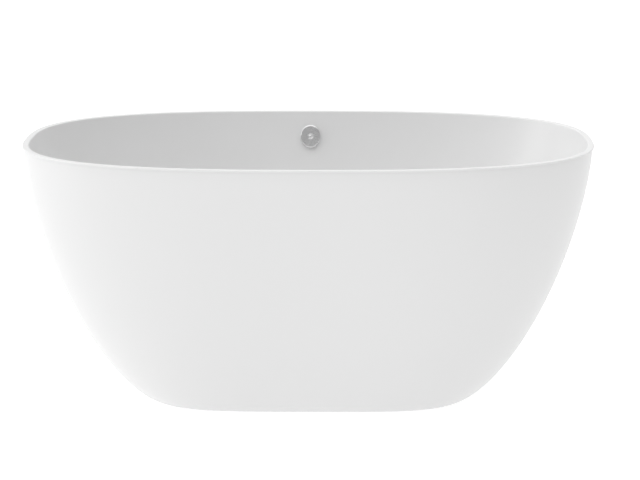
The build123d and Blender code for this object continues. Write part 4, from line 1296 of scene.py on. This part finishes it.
def make_tail_nut():
    """Coupling nut with finger flutes that fade out at its two ends."""
    low, high = span("coupling_nut")
    bore, neck, lip, flute = OUTLET_RADIUS + 0.1, PIPE_RADIUS + 0.1, low.z + 4.0, 2.5
    fade_share, end_edge = 0.16, 1.2
    groove_pitch, groove_half, groove_depth = 3.2, 0.4, 0.9
    turn = np.arange(FLUTED_POINTS) * 2 * pi / FLUTED_POINTS
    step = 2 * pi / FLUTES
    from_flute = (turn + step / 2) % step - step / 2
    inside = np.maximum(flute ** 2 - (high.x * np.sin(from_flute)) ** 2, 0)
    fluted = np.where(inside > 0, high.x * np.cos(from_flute) - np.sqrt(inside), high.x)
    section = [(neck, low.z + 0.4), (neck + 0.4, low.z)]
    section += [(high.x - 4.0, low.z), (high.x - end_edge, low.z + 0.5)]
    middle, half = (low.z + high.z) / 2, (high.z - low.z - 2 * end_edge) / 2
    for share in (-1.0, -0.86, -0.8, 0.0, 0.8, 0.86, 1.0):
        fade = min(1.0, (1.0 - abs(share)) / fade_share)
        radius = fluted * fade + (high.x - 0.6 * (1 - fade)) * (1 - fade)
        section.append((np.minimum(radius, high.x), middle + share * half))
    section += [(high.x - end_edge, high.z - 0.5), (high.x - 2.5, high.z)]
    section += [(bore + end_edge, high.z), (bore, high.z - end_edge)]
    for groove in range(4):
        level = high.z - 3.0 - groove_pitch * groove
        section += [(bore, level + groove_half), (bore + groove_depth, level)]
        section.append((bore, level - groove_half))
    section += [(bore, lip), (neck, lip)]
    rings = [ring(radius, level, FLUTED_POINTS) for radius, level in section]
    piece = placed(loop_mesh("tail_pipe_nut", rings), angle=38.0)
    finished(piece, "waste_plastic", "tub", "coupling_nut")


# ------------------------------------------------------------------ plug


def make_plug_cap():
    """Shallow dome with a socket under it for the stem."""
    low, high = span("plug_cap")
    socket, floor, crown = STEM_RADIUS + FIT, low.z + 2.0, 1.6
    edge = high.z - crown
    section = [(0, floor), (socket, floor, 0), (socket, low.z, 0.2), (high.x, low.z, 0.5)]
    section.append((high.x, edge, crown))
    for share in np.linspace(0.9, 0.1, 9):
        section.append((high.x * share, edge + crown * (1 - share ** 2), 0))
    section.append((0, high.z))
    finished(turned("plug_dome", section, count=144), "satin_chrome", "plug", "plug_cap")


def make_plug_ring():
    """Rubber ring under the cap, with a lip that meets the flange."""
    low, high = span("plug_seal")
    bore = high.x - 7.0
    section = [
        (bore, low.z, 0.4),
        (high.x - 2.2, low.z, 0.8),
        (high.x - 1.2, low.z + 2.2, 0.3),
        (high.x, low.z + 2.8, 0.5),
        (high.x, high.z - 0.9, 0.5),
        (high.x - 1.2, high.z, 0.4),
        (bore, high.z, 0.3),
    ]
    finished(turned("plug_rubber_ring", section, count=128), "seal_rubber", "plug", "plug_seal")


def make_plug_stem():
    """Stem with a collar at its foot, which the spring lifts, and a groove near its top."""
    low, high = span("plug_plunger")
    collar, waist = low.z + 2.0, STEM_RADIUS - 0.5
    section = [
        (0, low.z),
        (high.x, low.z, 0.3),
        (high.x, collar, 0.3),
        (STEM_RADIUS, collar, 0.3),
        (STEM_RADIUS, high.z - 7.0, 0.1),
        (waist, high.z - 6.6, 0.1),
        (waist, high.z - 5.8, 0.1),
        (STEM_RADIUS, high.z - 5.4, 0.1),
        (STEM_RADIUS, high.z, 0.4),
        (0, high.z),
    ]
    finished(turned("plug_stem", section, count=64), "brass", "plug", "plug_plunger")


def make_plug_guide():
    """Tube that the stem runs in, with a thread below and a groove round its barrel."""
    low, high = span("plug_guide")
    shoulder, groove, bore = low.z + 7.0, high.x - 0.6, STEM_RADIUS + FIT
    spring_room = 6.1
    thread = {"pitch": 1.25, "depth": 0.55, "chamfer": 0.7}
    piece = threaded("plug_guide_tube", low.z, shoulder + 0.5, GUIDE_THREAD_RADIUS, **thread)
    barrel = [
        (0, shoulder),
        (high.x, shoulder, 0.5),
        (high.x, shoulder + 5.0, 0.2),
        (groove, shoulder + 5.5, 0.2),
        (groove, shoulder + 7.0, 0.2),
        (high.x, shoulder + 7.5, 0.2),
        (high.x, high.z, 0.8),
        (0, high.z),
    ]
    combined(piece, turned("barrel", barrel, count=64), "UNION")
    hole = [
        (0, shoulder + 2.0),
        (spring_room, shoulder + 2.0, 0),
        (spring_room, high.z - 2.0, 0),
        (bore, high.z - 2.0, 0),
        (bore, high.z + PAST, 0),
        (0, high.z + PAST),
    ]
    combined(piece, turned("bore", hole, count=64), "DIFFERENCE")
    tidy(piece.data)
    finished(piece, "brass", "tub", "plug_guide")


def make_spring():
    """Round wire in a helix, at its rest length; in use the plug shortens it as it sinks."""
    low, high = span("plug_spring")
    wire = SPRING_WIRE / 2
    bottom, height = low.z + wire, high.z - low.z - 2 * wire
    growth = Growth(
        "wire_helix",
        Turns=float(SPRING_TURNS),
        Radius=(high.x - wire) * MM,
        Height=height * MM,
        Wire=wire * MM,
        Finish=FINISHES["spring_steel"],
    )
    radius = growth.size("Radius")
    inputs = {"Resolution": 40, "Rotations": growth.size("Turns"), "Height": growth.size("Height")}
    inputs.update({"Start Radius": radius, "End Radius": radius})
    helix = growth.node("GeometryNodeCurveSpiral", None, inputs)
    circle = growth.node(
        "GeometryNodeCurvePrimitiveCircle", None, {"Resolution": 14, "Radius": growth.size("Wire")}
    )
    wound = growth.node(
        "GeometryNodeCurveToMesh", None, {"Curve": helix, "Profile Curve": circle, "Fill Caps": True}
    )
    piece = growth.grown(link("plug_return_spring", bpy.data.meshes.new("plug_return_spring")), wound)
    piece.data.transform(Matrix.Translation((0, 0, bottom * MM)))
    tidy(piece.data, 50.0)
    finished(piece, "spring_steel", "tub", "plug_spring")
    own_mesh(piece)


# ------------------------------------------------------------------ frame and feet


def make_panel_screws():
    """Pan-head screws with a crossed recess, up through the rails into the panel."""
    low, high = span("board_screws")
    head, shank, head_top = 5.0, 2.5, low.z + 3.0
    section = [
        (0, low.z),
        (2.6, low.z, 0.8),
        (head, low.z + 1.6, 1.2),
        (head, head_top, 0.1),
        (0, head_top),
    ]
    piece = turned("panel_screws", section, count=48)
    for across, along in ((3.0, 0.6), (0.6, 3.0)):
        low_corner, high_corner = (-across, -along, low.z - PAST), (across, along, low.z + 1.5)
        combined(piece, block("cross", low_corner, high_corner), "DIFFERENCE")
    thread = {"pitch": 2.2, "depth": 0.7, "chamfer": 1.4, "count": 20}
    combined(piece, threaded("shank", head_top - 0.2, high.z, shank, **thread), "UNION")
    repeated(piece, "zinc_steel", 2 * (high.x - head), 2 * (high.y - head), 4, 2)
    tidy(piece.data)
    finished(piece, "zinc_steel", "tub", "board_screws")


def weld_ring(name, level):
    """Rippled bead of weld round a nut, against the tube above it."""
    count = 144
    outline = hexagon_reach(NUT_ACROSS, count) * 0.985
    ripple = 0.35 * np.abs(np.sin(np.arange(count) * 2 * pi / count * 24))
    section = ((-1.2, 0.0, 0), (1.6, 0.0, 1), (1.2, 1.0, 1), (0.1, 2.0, 0), (-1.2, 2.2, 0))
    rings = [ring(outline + out + ripple * swell, level - drop, count) for out, drop, swell in section]
    return placed(loop_mesh(name, rings), angle=60.0)


def make_nuts(name, node, welded):
    """Four nuts on the studs, which may each have a bead of weld."""
    low, high = span(node)
    piece = hexagon_nut(name, low.z, high.z, NUT_ACROSS, STUD_RADIUS + FIT, STUD_PITCH)
    if welded:
        joined(piece, weld_ring("weld", high.z))
    pad_low, pad_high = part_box("pad_rear_right")
    corner = (pad_low + pad_high) / MM
    repeated(piece, "zinc_steel", corner.x, corner.y)
    tidy(piece.data, 25.0)
    finished(piece, "zinc_steel", "tub", node)


def make_stud(corner, place):
    """Threaded stud with a hexagon collar just above its pad."""
    low, high = span(f"stud_{corner}")
    thread = {"pitch": STUD_PITCH, "depth": 0.9, "chamfer": 1.1, "place": place}
    stud = threaded(f"{corner}_stud", low.z, high.z, STUD_RADIUS, **thread)
    collar_low = span(f"pad_{corner}")[1].z + 0.3
    collar = hexagon_bar("collar", collar_low, collar_low + 6.0, NUT_ACROSS, place)
    combined(stud, collar, "UNION")
    tidy(stud.data, 25.0)
    finished(stud, "zinc_steel", f"stud_{corner}", f"stud_{corner}")


def make_pad(corner, place):
    """Round pad with grooves under it and a hub that the stud turns in."""
    low, high = span(f"pad_{corner}")
    groove_top, socket, socket_floor = low.z + 0.8, STUD_RADIUS + FIT, low.z + 8.0
    section = [(0, groove_top)]
    for groove in PAD_GROOVES:
        section += [(groove - 1.6, groove_top, 0.2), (groove - 1.2, low.z, 0.2)]
        section += [(groove + 1.2, low.z, 0.2), (groove + 1.6, groove_top, 0.2)]
    section += [
        (PAD_RADIUS - 0.9, low.z, 0.3),
        (PAD_RADIUS, low.z + 0.9, 0.5),
        (PAD_RADIUS, low.z + 6.0, 1.0),
        (PAD_HUB_RADIUS, high.z - 6.0, 2.0),
        (PAD_HUB_RADIUS, high.z, 0.6),
        (socket, high.z, 0.5),
        (socket, socket_floor, 0),
        (0, socket_floor),
    ]
    pad = turned(f"{corner}_pad", section, place=place)
    finished(pad, "pad_plastic", f"pad_{corner}", f"pad_{corner}")


def make_foot(corner):
    """Stud and pad at one corner."""
    low, high = span(f"stud_{corner}")
    middle = (low + high) / 2
    place = Matrix.Translation((middle.x * MM, middle.y * MM, 0))
    make_stud(corner, place)
    make_pad(corner, place)


def make_frame_welds():
    """Beads of weld where the rails cross the two tubes under them."""
    low, high = span("rail_rear")
    tube_low, tube_high = span("cross_member_right")
    half_width, half_length = (high.y - low.y) / 2, 14.5
    section = ((-1.0, -0.3), (3.4, 0.0), (2.6, 1.4), (0.8, 2.6), (-1.0, 3.0))
    rings = []
    for share in np.linspace(-1, 1, 61):
        swell = (1 - share ** 8) ** 0.5 * (1 + 0.12 * abs(sin(share * 40)))
        points = [(half_width + out * swell, low.z + up * swell) for out, up in section]
        rings.append(np.array([(share * half_length, *point) for point in points]))
    bead = placed(loop_mesh("frame_welds", rings, closed=False), angle=70.0)
    other = link("bead", bead.data.copy())
    other.data.transform(Matrix.Diagonal((1, -1, 1, 1)))
    joined(bead, other)
    repeated(bead, "frame_steel", tube_low.x + tube_high.x, low.y + high.y)
    tidy(bead.data, 70.0)
    finished(bead, "frame_steel", "tub")


# Pieces whose shape is already right in the frame, and how far their edges are softened.
CUT_PIECES = (
    ("wall_packers", "foam_packers", "foam", 0.8),
    ("base_board", "base_panel", "board", 0.8),
    ("rail_front", "front_rail", "frame_steel", 0.0),
    ("rail_rear", "rear_rail", "frame_steel", 0.0),
    ("cross_member_left", "left_cross_tube", "frame_steel", 0.0),
    ("cross_member_right", "right_cross_tube", "frame_steel", 0.0),
    ("frame_end_caps", "tube_end_caps", "cap_plastic", 0.3),
)
for node, name, slot, edge in CUT_PIECES:
    refined(node, name, slot, edge)

make_overflow_plate()
make_plate_screw()
make_overflow_insert()
make_overflow_elbow()
make_ribbed_ring("overflow_front_gasket", "overflow_gasket", 1, 0.2, OVERFLOW_FRAME)
make_ribbed_ring("overflow_back_seal", "overflow_seal", 3, 0.25, OVERFLOW_FRAME)
make_hose()
make_clips()
make_ribbed_ring("waste_top_seal", "drain_flange_seal", 3, 0.2)
make_ribbed_ring("waste_under_seal", "drain_body_seal", 4, 0.6)
make_ribbed_ring("tail_pipe_washer", "tailpiece_washer", 1, 0.25)
make_waste_flange()
make_waste_elbow()
make_tail_pipe()
make_tail_nut()
make_plug_cap()
make_plug_ring()
make_plug_stem()
make_plug_guide()
make_spring()
make_panel_screws()
make_nuts("welded_nuts", "weld_nuts", True)
make_nuts("foot_lock_nuts", "lock_nuts", False)
make_frame_welds()
for corner in ("front_left", "front_right", "rear_left", "rear_right"):
    make_foot(corner)

# ------------------------------------------------------------------ studio

FLOOR_SIZE = 60.0
FLOOR_GLOW = 0.67
CAMERA_PLACE = (0.07, -4.2, 1.486)
CAMERA_PITCH = 14.9
CAMERA_YAW = 0.56
CAMERA_LENS = 97.1
ROOM_GLOW = 0.345
# Name, direction that the light comes from, strength, and width in degrees.
LIGHTS = (
    ("side_light", (-1.0, -0.22, 0.16), 0.45, 24.0),
    ("top_light", (-0.25, 0.1, 1.0), 2.45, 130.0),
    ("back_light", (0.3, 1.0, 0.34), 0.18, 50.0),
)


def studio_floor():
    """Pale matt floor that glows a little, so that the tub's own shadow stays faint."""
    finish = Finish("studio_floor", Specular_IOR_Level=0.0, Emission_Strength=FLOOR_GLOW)
    tone = finish.noise(0.8, 2.0)
    finish.colour(finish.blend(tone, shade(0.5), shade(0.52)))
    finish.roughness(0.7 + 0.1 * tone)
    finish.shader.inputs["Emission Color"].default_value = shade(1.0)
    return finish.material


def make_floor():
    half = FLOOR_SIZE / 2
    mesh = bpy.data.meshes.new("studio_floor")
    corners = [(-half, -half, 0), (half, -half, 0), (half, half, 0), (-half, half, 0)]
    mesh.from_pydata(corners, [], [(0, 1, 2, 3)])
    floor = link("studio_floor", mesh)
    mesh.materials.append(studio_floor())


def make_lights():
    """An even room, a wide light overhead and lower ones from the left and from behind."""
    world = bpy.data.worlds.new("studio_room")
    world.use_nodes = True
    background = world.node_tree.nodes["Background"]
    background.inputs["Color"].default_value = shade(1.0)
    background.inputs["Strength"].default_value = ROOM_GLOW
    bpy.context.scene.world = world
    for name, direction, strength, width in LIGHTS:
        light = bpy.data.lights.new(name, "SUN")
        light.energy, light.angle = strength, radians(width)
        lamp = bpy.data.objects.new(name, light)
        bpy.context.scene.collection.objects.link(lamp)
        lamp.rotation_euler = Vector(direction).to_track_quat("Z", "Y").to_euler()


def make_camera():
    data = bpy.data.cameras.new("camera")
    data.lens = CAMERA_LENS
    camera = bpy.data.objects.new("camera", data)
    bpy.context.scene.collection.objects.link(camera)
    camera.location = CAMERA_PLACE
    camera.rotation_euler = (radians(90 - CAMERA_PITCH), 0, radians(CAMERA_YAW))
    bpy.context.scene.camera = camera


make_floor()
make_lights()
make_camera()
bpy.context.scene.view_settings.view_transform = "Standard"
